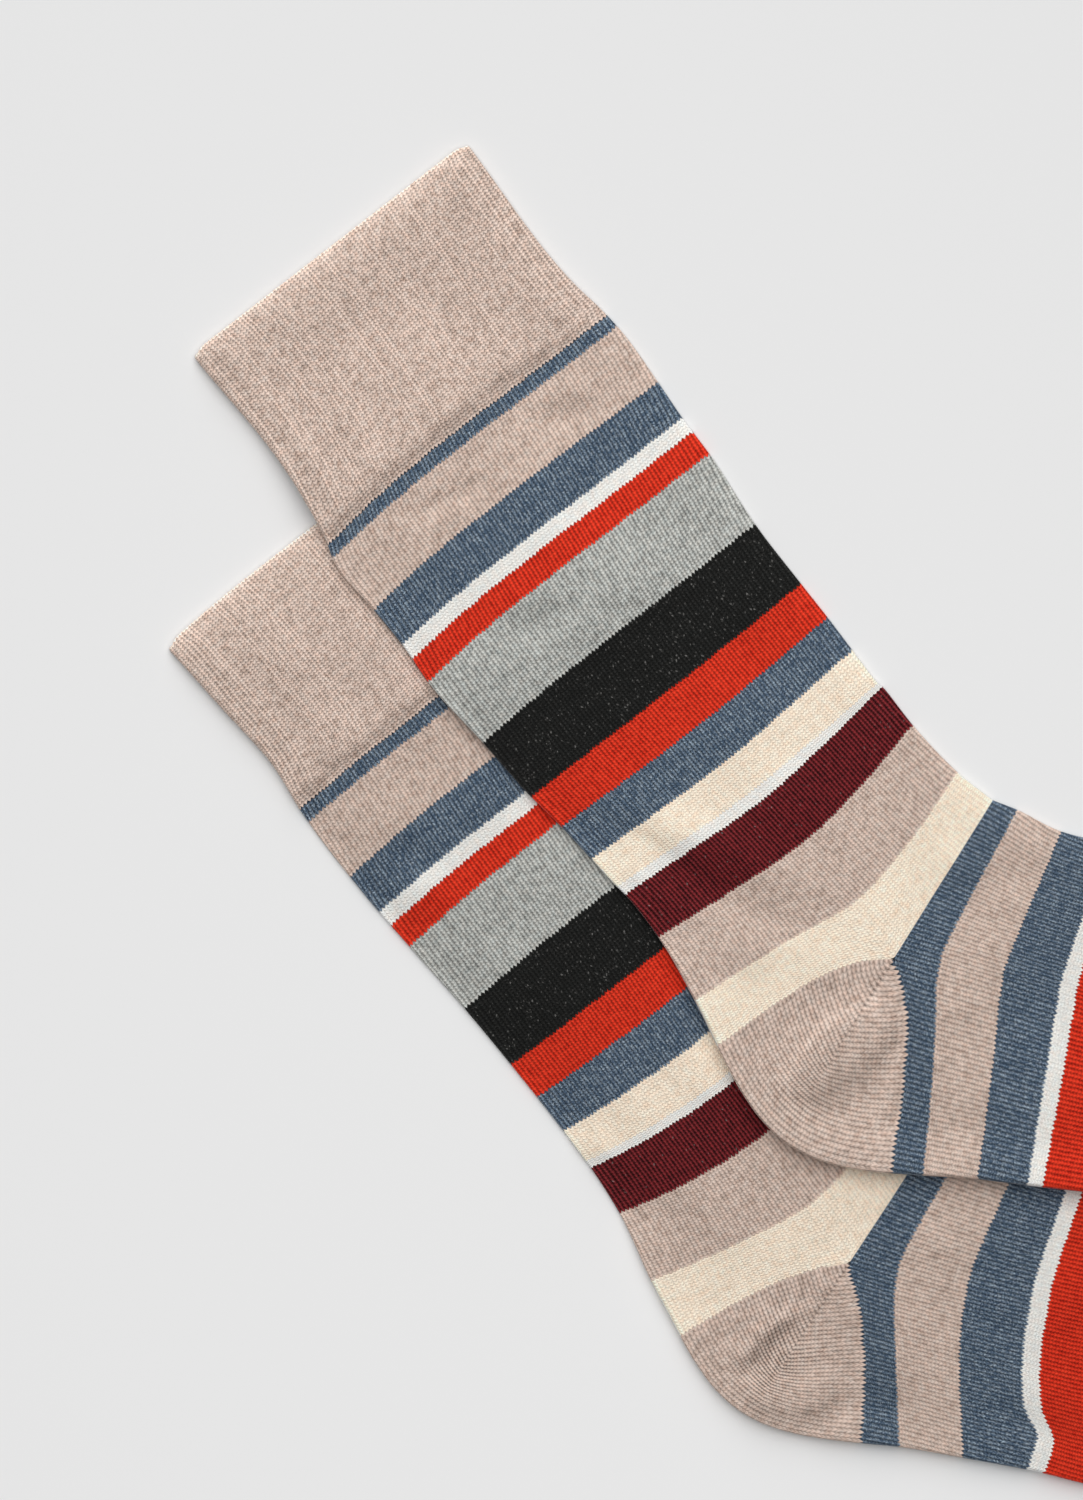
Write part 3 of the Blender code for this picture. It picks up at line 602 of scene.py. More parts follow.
@dataclass(frozen=True)
class Relief:
    """Form of the top layer over a plainly pressed sock."""

    creases: tuple[Crease, ...]
    seed: int
    puff: float = 1.3  # how far the layers stand apart in the middle
    puff_width: float = 20.0
    ripple: float = 0.26  # height of the fine unevenness
    ripple_width: float = 6.0  # how far inside the fold it is whole
    waves: int = 24
    wave_lengths: tuple[float, float] = (14.0, 45.0)
    strength: float = 2.1  # of the creases
    lowest: float = -0.1
    lowest_soft: float = 0.3  # how far above that troughs begin to level out

    def ripples(self, points: Array) -> Array:
        """Fine unevenness: a seeded sum of plane waves."""
        rng = np.random.default_rng(self.seed)
        angle = rng.uniform(0.0, 2 * math.pi, self.waves)
        length = rng.uniform(*self.wave_lengths, self.waves)
        phase = rng.uniform(0.0, 2 * math.pi, self.waves)
        wave = 2 * math.pi / length * np.stack([np.cos(angle), np.sin(angle)])
        return np.sin(points @ wave + phase).sum(axis=-1) * self.ripple / math.sqrt(self.waves / 2)

    def height(self, points: Array, inside: Array) -> Array:
        """Height of the relief at plan points, never below the pressed form by much.

        Args:
            points: plan points.
            inside: their distance inside the sock's outline.

        Returns:
            puff * smooth_step(inside / width) plus creases plus ripples. Within the soft
            stretch s above the lowest height it levels out, as lowest + s exp(over / s - 1).
        """
        total = self.puff * smooth_step(inside / self.puff_width)
        total = total + self.ripples(points) * smooth_step(inside / self.ripple_width)
        for crease in self.creases:
            total = total + self.strength * crease.relief(points)
        over = total - self.lowest
        soft = self.lowest_soft
        return np.where(over < soft, self.lowest + soft * np.exp(over / soft - 1.0), total)


@dataclass(frozen=True)
class SockForm:
    """A sock's plan with its rest and its relief: it lifts plan points to the two walls."""

    plan: SockPlan
    ground: Ground
    relief: Relief
    covered_by: SockPlan | None = None
    shift: tuple[float, float] = (0.0, 0.0)
    covered_height: float = 0.1  # height that the relief keeps under the covering sock
    covered_width: float = 8.0  # and how far past its outline the relief has all of its height
    bulk: float = 0.1  # how far a fold reaches out for each millimetre that the relief lifts it

    def top_relief(self, points: Array, inside: Array) -> Array:
        """Relief of the top layer, which dies away under the sock that covers it."""
        height = self.relief.height(points, inside)
        if self.covered_by is None:
            return height
        outside = distance_outside(points, self.covered_by.outline())
        kept = np.minimum(height, self.covered_height)
        return kept + (height - kept) * smooth_step(outside / self.covered_width)

    def lift(self, spot: Array, radius: Array, height: Array, level: Array, relief: Array) -> Array:
        """Points of one wall, in metres.

        z = level + height * radius + relief * (1 + height)/2, so that the top layer carries
        all of the relief, a fold half of it, and the bottom layer none.
        """
        z = level + height * radius + relief * (1.0 + height) / 2.0
        xy = spot + np.array(self.shift)
        return np.concatenate([xy, z[..., None]], axis=-1) * MM

    def walls(
        self, plan: Array, past: Array, height: Array, inset: Array, outer: Array
    ) -> tuple[Array, Array]:
        """Outer and inner wall points of sections, from their plan points.

        The cloth is thinner near a fold, by FOLD_PRESS (1 - smooth_step(inside / width)), and
        where the relief lifts the fold it reaches out a little more.

        Args:
            plan: plan points, a row for each course.
            past: vectors of the way out round a fold, for a thickness of 1.
            height: -1 at the bottom layer to 1 at the top.
            inset: vectors of the way in from the outline, for a thickness of 1.
            outer: half the sock's thickness, for each row.

        Returns:
            The outer and the inner wall's points.
        """
        inside = -distance_outside(plan, self.plan.outline())
        pressed = 1.0 - FOLD_PRESS * (1.0 - smooth_step(inside / FOLD_PRESS_WIDTH))
        outer = np.broadcast_to(outer, plan.shape[:2]) * pressed
        relief = self.top_relief(plan, inside)
        spread = outer + self.bulk * np.maximum(relief, 0.0)
        centre = plan - inset * spread[..., None]
        level = self.ground.height(plan) + outer
        inner = LAYER_GAP / 2 * pressed
        inner_spread = inner + spread - outer
        outside = self.lift(centre + past * spread[..., None], outer, height, level, relief)
        within = self.lift(centre + past * inner_spread[..., None], inner, height, level, relief)
        return outside, within


# ---- Meshes -----------------------------------------------------------------------------------
def placed(name: str, data: bpy.types.ID) -> bpy.types.Object:
    """A new object in the scene."""
    made = bpy.data.objects.new(name, data)
    bpy.context.scene.collection.objects.link(made)
    return made


@dataclass
class Weld:
    """Collects grids of quads and makes one closed, outward mesh of them.

    A grid is an array of points, rows by columns. Each point of it has four map values: wale,
    course, and the distances from the nearest fold or rim and from the gore, in millimetres.
    """

    points: list[Array] = field(default_factory=list)
    faces: list[Numbers] = field(default_factory=list)
    uvs: list[Array] = field(default_factory=list)
    kinds: list[Numbers] = field(default_factory=list)

    def add(self, points: Array, low: Array, high: Array, closed: bool, kind: int) -> None:
        """Adds a grid.

        Args:
            points: its points.
            low: the map values of the first row of each of its strips, with one more column
                where the grid is closed.
            high: the same for the second row of each strip.
            closed: whether its last column joins its first.
            kind: grids of one kind shade smoothly into each other.
        """
        rows, columns = points.shape[:2]
        ids = np.arange(rows * columns).reshape(rows, columns) + sum(map(len, self.points))
        right = np.roll(ids, -1, axis=1) if closed else ids[:, 1:]
        left = ids if closed else ids[:, :-1]
        quads = np.stack([left[:-1], right[:-1], right[1:], left[1:]], axis=-1).reshape(-1, 4)
        corners = [low[:, :-1], low[:, 1:], high[:, 1:], high[:, :-1]]
        self.points.append(points.reshape(-1, 3))
        self.faces.append(quads)
        self.uvs.append(np.stack(corners, axis=2).reshape(-1, 4, 4))
        self.kinds.append(np.full(len(quads), kind))

    def wall(self, points: Array, uv: Array) -> None:
        """Adds a closed wall by its rows' points and map values."""
        self.add(points, uv[:-1], uv[1:], True, 0)

    def cap(self, first: Array, second: Array, uv: Array, closed: bool) -> None:
        """Adds a flat cap between two rows of points, sharp against the walls."""
        self.add(np.stack([first, second]), uv[None], uv[None], closed, 1)

    def merged(self) -> tuple[Array, Numbers]:
        """Points with doubles (within a micrometre) merged, and the faces that use them."""
        points = np.concatenate(self.points)
        keys = np.round(points * 1e6).astype(np.int64)
        _, first, where = np.unique(keys, axis=0, return_index=True, return_inverse=True)
        return points[first], where.reshape(-1)[np.concatenate(self.faces)]

    def mesh(self, name: str) -> bpy.types.Mesh:
        """The mesh, with the UV maps `Knit` and `Form`, smooth within a kind and sharp between kinds.

        A quad with two corners in one point becomes a triangle. The sign of the volume,
        the sum of a·(b×c)/6 over the triangles, tells if all faces have to be turned.
        """
        points, faces = self.merged()
        uvs, kinds = np.concatenate(self.uvs), np.concatenate(self.kinds)
        a, b, c, d = (points[faces[:, i]] for i in range(4))
        if (a * np.cross(b, c)).sum() + (a * np.cross(c, d)).sum() < 0:
            faces, uvs = faces[:, ::-1], uvs[:, ::-1]
        keep = faces != np.roll(faces, 1, axis=1)
        whole = keep.sum(axis=1) >= 3
        faces, uvs, kinds, keep = faces[whole], uvs[whole], kinds[whole], keep[whole]
        sizes = keep.sum(axis=1)
        mesh = bpy.data.meshes.new(name)
        mesh.vertices.add(len(points))
        mesh.vertices.foreach_set("co", points.ravel())
        mesh.loops.add(int(sizes.sum()))
        mesh.loops.foreach_set("vertex_index", faces[keep])
        mesh.polygons.add(len(sizes))
        mesh.polygons.foreach_set("loop_start", np.concatenate([[0], np.cumsum(sizes)[:-1]]))
        mesh.update(calc_edges=True)
        for map_name, first in (("Knit", 0), ("Form", 2)):
            layer = mesh.uv_layers.new(name=map_name)
            layer.data.foreach_set("uv", uvs[keep][:, first:first + 2].ravel())
        mesh.shade_smooth()
        edge_of_loop = np.empty(len(mesh.loops), np.int64)
        mesh.loops.foreach_get("edge_index", edge_of_loop)
        kind_of_loop = np.repeat(kinds, sizes)
        low, high = np.full(len(mesh.edges), kinds.max()), np.full(len(mesh.edges), kinds.min())
        np.minimum.at(low, edge_of_loop, kind_of_loop)
        np.maximum.at(high, edge_of_loop, kind_of_loop)
        sharp = mesh.attributes.new("sharp_edge", "BOOLEAN", "EDGE")
        sharp.data.foreach_set("value", low != high)
        mesh.validate()
        return mesh


# ---- Finish -----------------------------------------------------------------------------------
@dataclass(frozen=True)
class Value:
    """A number, vector or colour in a shader tree. Arithmetic with it adds Math nodes."""

    desk: "NodeDesk"
    socket: bpy.types.NodeSocket

    def math(self, operation: str, *others: "Feed") -> "Value":
        """A Math node on this number and others."""
        return self.desk.math(operation, self, *others)

    def __add__(self, other: "Feed") -> "Value":
        """The sum."""
        return self.math("ADD", other)

    def __sub__(self, other: "Feed") -> "Value":
        """This less the other."""
        return self.math("SUBTRACT", other)

    def __rsub__(self, other: float) -> "Value":
        """The other less this."""
        return self.desk.math("SUBTRACT", other, self)

    def __mul__(self, other: "Feed") -> "Value":
        """The product."""
        return self.math("MULTIPLY", other)

    def __truediv__(self, other: "Feed") -> "Value":
        """This over the other."""
        return self.math("DIVIDE", other)

    def __abs__(self) -> "Value":
        """Its size without its sign."""
        return self.math("ABSOLUTE")

    def clamped(self) -> "Value":
        """The same number, kept from 0 to 1 by its own node."""
        self.socket.node.use_clamp = True
        return self

    def ramp(self, start: float, end: float) -> "Value":
        """0 at the start, 1 at the end, straight between them and level past them."""
        return self.math("MULTIPLY_ADD", 1.0 / (end - start), -start / (end - start)).clamped()

    def about(self, middle: float, width: float) -> "Value":
        """A random number from 0 to 1, spread to this width about a middle."""
        return self.math("MULTIPLY_ADD", width, middle - width / 2)


Feed = Value | float | tuple[float, ...]


@dataclass(frozen=True)
class NodeDesk:
    """Adds nodes to one shader tree, in plain words."""

    tree: bpy.types.NodeTree

    def feed(self, socket: bpy.types.NodeSocket, value: Feed) -> None:
        """Links a value of the tree into a socket, or sets its number or colour."""
        if isinstance(value, Value):
            self.tree.links.new(value.socket, socket)
        else:
            socket.default_value = value

    def node(self, kind: str, inputs: dict[int | str, Feed], **settings: object) -> bpy.types.Node:
        """A new node with these settings, fed with these inputs."""
        made = self.tree.nodes.new("ShaderNode" + kind)
        for name, value in settings.items():
            setattr(made, name, value)
        for name, value in inputs.items():
            self.feed(made.inputs[name], value)
        return made

    def out(self, made: bpy.types.Node, name: int | str = 0) -> Value:
        """One output of a node."""
        return Value(self, made.outputs[name])

    def math(self, operation: str, *values: Feed) -> Value:
        """A Math node."""
        return self.out(self.node("Math", dict(enumerate(values)), operation=operation))

    def combine(self, *numbers: Feed) -> Value:
        """A vector of up to three numbers."""
        return self.out(self.node("CombineXYZ", dict(enumerate(numbers))))

    def split(self, vector: Value) -> tuple[Value, Value, Value]:
        """The three numbers of a vector or colour."""
        made = self.node("SeparateXYZ", {0: vector})
        return self.out(made, 0), self.out(made, 1), self.out(made, 2)

    def map(self, name: str) -> tuple[Value, Value, Value]:
        """The numbers of a UV map."""
        return self.split(self.out(self.node("UVMap", {}, uv_map=name)))

    def random(self, *where: Feed) -> Value:
        """A random number from 0 to 1 for each place of whole numbers."""
        noise = self.node("TexWhiteNoise", {"Vector": self.combine(*where)}, noise_dimensions="3D")
        return self.out(noise, "Value")

    def noise(self, x: Value, y: Value, scale: Scale, seed: float, detail: float = 1.0) -> Value:
        """Smooth noise round 0.5, at these scales of wales and courses."""
        place = self.combine(x * scale[0], y * scale[1], seed)
        inputs = {"Vector": place, "Scale": 1.0, "Detail": detail}
        return self.out(self.node("TexNoise", inputs, noise_dimensions="3D"), "Fac")

    def steps(self, position: Value, stops: list[tuple[float, Color]]) -> Value:
        """A colour ramp of constant steps, the first of them at 0."""
        made = self.node("ValToRGB", {0: position})
        ramp = made.color_ramp
        ramp.interpolation = "CONSTANT"
        for element in list(ramp.elements)[1:]:
            ramp.elements.remove(element)
        ramp.elements[0].position = 0.0
        for index, (place, color) in enumerate(stops):
            element = ramp.elements[0] if index == 0 else ramp.elements.new(place)
            element.color = (*color, 1.0)
        return self.out(made)

    def blend(self, share: Feed, first: Feed, second: Feed) -> Value:
        """A colour between two others."""
        inputs = {0: share, 6: first, 7: second}
        return self.out(self.node("Mix", inputs, data_type="RGBA", clamp_factor=True), 2)

    def colors(self, operation: str, first: Value, second: Feed) -> Value:
        """A Vector Math node on a colour and another, or on a colour and a number to scale it."""
        inputs = {0: first, 3 if operation == "SCALE" else 1: second}
        return self.out(self.node("VectorMath", inputs, operation=operation))


@dataclass(frozen=True)
class Stitch:
    """Where a point lies in the knit, and the random numbers of its place.

    With U in wales and V in courses: x = |2 frac(U) - 1| is 0 along the middle of a wale and 1
    on its borders, and each wale's courses sit up to e off their place. A stitch's course is
    the floor of rise = V + TOOTH x + e, and its leg is floor(2U). The stripes' colours step
    over floor(V + BAND_TOOTH x + e).
    """

    u: Value
    v: Value
    x: Value
    rise: Value
    band: Value  # the course that the stripes go by
    by_wale: Value
    by_leg: Value
    by_fibre: Value
    by_patch: Value

    @classmethod
    def at(cls, desk: NodeDesk, seed: float) -> "Stitch":
        """The stitch at each point of the map `Knit`."""
        u, v, _ = desk.map("Knit")
        u = u.math("FLOORED_MODULO", 2.0 * WALES)
        x = abs(u.math("FRACT") * 2.0 - 1.0)
        by_wale = desk.random(u.math("FLOOR"), seed)
        wave = desk.noise(u, v, WAVE_SCALE, seed)
        even = v + (by_wale.about(0.0, UNEVEN_BY_WALE) + wave.about(0.0, UNEVEN_BY_WAVE))
        rise = even + x * TOOTH
        return cls(
            u, v, x, rise, (even + x * BAND_TOOTH).math("FLOOR"), by_wale,
            desk.random((u * 2.0).math("FLOOR"), rise.math("FLOOR"), seed + 0.5),
            desk.noise(u, rise, FIBRE_SCALE, seed),
            desk.noise(u, v, PATCH_SCALE, seed, 2.0),
        )


@dataclass(frozen=True)
class KnitFinish:
    """Plain knit in bands of yarn: stitches, stripes with toothed edges, marl and flecks."""

    name: str
    bands: Bands
    first: int  # the course where the first band starts
    seed: float
    side_yarn: Yarn | None = None  # yarn past the last band on the back half of the sock
    lines: float = 0.0  # how much the painted highlight lines gather on some wales, in broken stretches
    wale_gap: float = 0.80  # painted shade between the wales
    row_gap: float = 0.08  # painted shade between the courses in the middle of a wale
    depth: float = 1.12  # of the painted shade in all the gaps, beside the yarns' own
    bump: float = 0.00022  # depth of the stitches, in metres
    bump_strength: float = 0.7
    roughness: float = 0.95
    sheen: float = 0.22
    sheen_roughness: float = 0.3
    specular: float = 0.08
    tone: float = 1.0  # brightness beside the other pieces' in the same yarns, partly painted shade of the key light's falloff
    fuzz: float = 1.15  # painted highlight on the folds, the rim and the heel's crest, for the light that loose fibres catch
    fuzz_reach: float = 0.9  # and how far from them, in millimetres
    gore: bool = False  # whether a line of small gaps marks the gore
    parted: float = 0.0  # how much more the wales stand apart where the gore ends in the bulge, deepening their painted highlight and shade

    def ramps(self, desk: NodeDesk, band: Value) -> list[Value]:
        """Each band's colour, second colour, (share, grain, patch) and (fleck, line, gap)."""
        span = self.bands[-1][1] - self.first
        place = (band - (self.first - 0.5)) / span
        starts = [0.0] + [(end - self.first) / span for _, end in self.bands[:-1]]
        looks = [YARN_LOOKS[yarn].triples() for yarn, _ in self.bands]
        return [desk.steps(place, list(zip(starts, triples))) for triples in zip(*looks)]

    def marl(self, desk: NodeDesk, stitch: Stitch, colors: list[Value], mix: tuple[Value, ...]) -> Value:
        """The yarn's two colours: random by leg and by fibre, and drifting over patches.

        Args:
            desk: adds the nodes.
            stitch: where the point lies.
            colors: the band's two colours.
            mix: the mean share of the second one, its grain and its drift over patches.

        Returns:
            The colour. Past the piece's last course it is the side yarn's on the back half.
        """
        share, grain, patch = mix
        amount = share + grain * stitch.by_leg.about(0.0, MARL_BY_LEG)
        amount = amount + patch * stitch.by_patch.about(0.0, MARL_BY_PATCH)
        amount = amount + grain * stitch.by_fibre.about(0.0, MARL_BY_FIBRE)
        color = desk.blend(amount, *colors)
        if self.side_yarn is None:
            return color
        look = YARN_LOOKS[self.side_yarn]
        side = desk.blend(look.share, (*look.color, 1.0), (*look.second, 1.0))
        behind = abs(stitch.u - WALES).math("LESS_THAN", WALES / 2)
        past = stitch.band.math("GREATER_THAN", self.bands[-2][1] - 0.5)
        return desk.blend(behind * past, color, side)

    def bulge(self, stitch: Stitch, off_gore: Value) -> Value:
        """1 where the gore ends in the heel's swell: a bell across it, over some wales."""
        across = (off_gore + BULGE_OFFSET) / BULGE_WIDTH
        bell = (across * across * -1.0).math("EXPONENT")
        return bell * stitch.u.ramp(*BULGE_RISE) * stitch.u.ramp(*BULGE_FALL)

    def thread(self, stitch: Stitch) -> Value:
        """Painted highlight on the thread along the middle of each wale, or along some of them."""
        thread = stitch.x.ramp(THREAD_WIDTH, 0.0) * stitch.by_leg.about(1.0, LIGHT_BY_LEG)
        if self.lines == 0.0:
            return thread
        chosen = stitch.by_wale.ramp(*LINE_WALES) * stitch.by_patch.ramp(*LINE_PATCHES)
        return thread * (chosen * (LINE_GAIN * self.lines) + (1.0 - self.lines))

    def gore_mark(self, stitch: Stitch, off_gore: Value) -> Value:
        """1 less the painted shade in the row of small gaps along the gore, which fades out towards the
        bulge.
        """
        near = abs(off_gore).ramp(GORE_WIDTH, 0.0) * stitch.u.ramp(*GORE_FADE)
        return 1.0 - near * stitch.x * GORE_DARK

    def flecks(self, desk: NodeDesk, stitch: Stitch, share: Value) -> Value:
        """Small round pale specks with soft edges, one at most in each cell of a Voronoi grid."""
        inputs = {"Scale": 1.0, "Vector": desk.combine(stitch.u * FLECK_CELLS, stitch.rise)}
        cells = desk.node("TexVoronoi", inputs, voronoi_dimensions="2D", feature="F1")
        here, strength, size = desk.split(desk.out(cells, "Color"))
        inside = size * FLECK_SPREAD + FLECK_RADIUS - desk.out(cells, "Distance")
        spot = (inside / FLECK_EDGE).clamped() * here.math("LESS_THAN", share)
        return spot * strength.math("POWER", FLECK_FADE)

    def material(self) -> bpy.types.Material:
        """The material.

        The brightness is 1 + line t - gap d: t is a painted highlight on the thread along a wale,
        and d is painted shade in the hollows, made of x⁴ and (2 frac(rise) - 1)² for the hollows
        between wales and between courses. In a heel both grow by `parted` in the bulge. The map
        `Form` holds the millimetres from the nearest fold or rim and from the gore: near the first
        a painted highlight, for the light that loose fibres catch, brightens the cloth by
        strength e^(-distance / reach).
        """
        made = bpy.data.materials.new(self.name)
        made.use_nodes = True
        made.node_tree.nodes.clear()
        desk = NodeDesk(made.node_tree)
        stitch = Stitch.at(desk, self.seed)
        edge, off_gore, _ = desk.map("Form")
        *colors, mix, detail = self.ramps(desk, stitch.band)
        mix = desk.split(mix)
        fleck, line, gap = desk.split(detail)
        color = self.marl(desk, stitch, colors, mix)
        if self.gore:
            parted = self.bulge(stitch, off_gore) * self.parted + 1.0
            line, gap = line * parted, gap * parted

        # Painted highlight on each wale's thread, and painted shade in the hollows between the stitches.
        rows = abs(stitch.rise.math("FRACT") * 2.0 - 1.0)
        hollow, between = rows * rows, stitch.x.math("POWER", 4.0)
        dark = hollow * (stitch.x * ROW_GAP_AT_BORDER + self.row_gap) + between * self.wale_gap
        dark = dark * stitch.by_leg.about(1.0, LIGHT_BY_LEG)
        light = line * self.thread(stitch) + 1.0 - gap * (dark * self.depth)
        # The piece's tone, partly painted shade of the key light's falloff, spread at random over larger
        # areas.
        by_area = desk.noise(stitch.u, stitch.v, AREA_SCALE, self.seed)
        light = light * by_area.about(self.tone, LIGHT_BY_AREA * self.tone)
        light = light * stitch.by_fibre.about(1.0, LIGHT_BY_FIBRE)
        # Painted highlight near the folds, the rim and the heel's crest, for the light that loose fibres
        # catch.
        fuzz = (edge * (-1.0 / self.fuzz_reach)).math("EXPONENT")
        light = light * (fuzz * self.fuzz + 1.0)
        # Painted shade in the small gaps along the heel's gore.
        if self.gore:
            light = light * self.gore_mark(stitch, off_gore)

        by_tint = desk.noise(stitch.u, stitch.v, TINT_SCALE, self.seed + 9.0, 2.0)
        warm = mix[2] * by_tint.about(0.0, TINT_BY_PATCH)
        tint = desk.combine(*(warm * part + 1.0 for part in WARM_TINT))
        color = desk.colors("MULTIPLY", desk.colors("SCALE", color, light), tint)
        color = desk.colors("MINIMUM", color, PALEST)
        pale = desk.blend(FLECK_SHARE, desk.colors("SCALE", color, FLECK_GAIN), FLECK_COLOR)
        color = desk.blend(self.flecks(desk, stitch, fleck) * FLECK_STRENGTH, color, pale)

        height = (1.0 - hollow) * (1.0 - between * WALE_HOLLOW) + stitch.by_fibre * FIBRE_HEIGHT
        bump = {"Strength": self.bump_strength, "Distance": self.bump, "Height": height}
        shader = desk.node("BsdfPrincipled", {
            "Base Color": color,
            "Normal": desk.out(desk.node("Bump", bump)),
            "Roughness": self.roughness,
            "Specular IOR Level": self.specular,
            "Sheen Weight": self.sheen,
            "Sheen Roughness": self.sheen_roughness,
        })
        desk.node("OutputMaterial", {"Surface": desk.out(shader)})
        return made


# ---- Pieces -----------------------------------------------------------------------------------
def steps_for(length: float, even: bool = False) -> int:
    """Mesh steps for a length, an even number if asked."""
    count = max(2, math.ceil(length / GRID))
    return count + count % 2 if even else count


def fold_normals(edge: Array, inside: Array, ends: Ends) -> Array:
    """Outward normals of a fold's plan points.

    Args:
        edge: the fold's points.
        inside: points on the sock's side of it.
        ends: the fold's direction at its first and last point, where a neighbour shares it.

    Returns:
        A unit vector for each point, square to the fold and away from the inside.
    """
    along = np.gradient(edge, axis=0)
    for place, direction in zip((0, -1), ends):
        if direction is not None:
            along[place] = direction
    along = unit(along)
    normals = np.stack([along[:, 1], -along[:, 0]], axis=-1)
    side = np.sign((normals * (edge - inside)).sum(axis=-1, keepdims=True))
    return (normals * side)[:, None, :]


def to_folds(share: Array, front: Array, back: Array) -> Array:
    """Vectors towards the back fold where the share is above 0, to the front one below it."""
    return np.maximum(share, 0.0)[:, None] * back + np.maximum(-share, 0.0)[:, None] * front


def fold_profile() -> tuple[Array, Array, Array]:
    """A fold's cross-section: its angles from the top, how far out and how high.

    A half circle (sin, cos) with a squarer shoulder, sin^FOLD_SHOULDER, whose lower half
    stays out further, 1 - FOLD_FLAT (1 - sin), because it is pressed on what lies below.
    """
    angle = np.linspace(0.0, math.pi, FOLD_STEPS + 1)[1:-1]
    sine = np.sin(angle)
    out = np.where(angle > math.pi / 2, 1.0 - FOLD_FLAT * (1.0 - sine), sine**FOLD_SHOULDER)
    return angle, out, np.cos(angle)


@dataclass(frozen=True)
class Section:
    """Once round a flat tube, or from a corner over the fold and back under it."""

    place: Array  # wale, or reach for a pocket
    past: Array  # how far round a fold: + the back one, - the front one
    height: Array  # 1 on the top layer, -1 on the bottom one
    u_share: Array  # share of the way from fold line to fold line, then on round the bottom

    @classmethod
    def pocket(cls, steps: int) -> "Section":
        """The section of a pocket, from the top layer's corner to the bottom layer's."""
        across = np.linspace(0.0, 1.0, steps + 1)
        angle, out, up = fold_profile()
        flat = np.zeros(steps + 1)
        return cls(
            np.concatenate([across, np.ones_like(out), across[::-1]]),
            np.concatenate([flat, out, flat]),
            np.concatenate([flat + 1, up, flat - 1]),
            np.concatenate([flat, angle / math.pi, flat + 1]),
        )

    @classmethod
    def tube(cls, steps: int) -> "Section":
        """The section of a tube: a pocket's, closed by the front fold."""
        half = cls.pocket(steps)
        angle, out, up = fold_profile()
        return cls(
            np.append(half.place, 0 * out),
            np.append(half.past, -out),
            np.append(half.height, -up),
            np.append(half.u_share, 1 + angle / math.pi),
        )


def leaning(leans: Leans, course: Coordinate) -> Array:
    """How far, in wales, the wales have strayed to the back at a course."""
    return sum(wales * smooth_step((course - first) / (last - first)) for wales, first, last in leans)


def half_fold_wales(radius: Array) -> Array:
    """Wales in the quarter circle from the top layer to the middle of a fold."""
    return math.pi / 2 * radius / WALE


def fuzz_distance(offset: Array, below: Array) -> Array:
    """Distance from an edge's outermost line, for its painted highlight: it counts more below it, so the
    highlight ends sooner on the fold's lower half.
    """
    return np.abs(offset) * np.where(below, PRESSED_FUZZ, 1.0)


@dataclass
class ClothPiece:
    """One knitted piece of a sock: it builds its mesh, hangs it under the root body and hides the plain part
    that it stands for.
    """

    form: SockForm
    rests_on: tuple[str, ...]
    material: bpy.types.Material
    flat: tuple[float, float]  # the cut of what shows, all round, in metres
    area: float  # its area in square metres

    kind = "piece"

    def weld(self) -> Weld:
        """The grids of the piece."""
        raise NotImplementedError

    def build(self) -> bpy.types.Object:
        node = f"{self.form.plan.name}_{self.kind}"
        mesh = self.weld().mesh(f"{node}_knit")
        mesh.materials.append(self.material)
        piece = placed(f"{node}_knit", mesh)
        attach(piece, "root")
        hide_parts(node)
        list(self.rests_on)
        LOG.info("%s: %d faces", piece.name, len(mesh.polygons))
        return piece


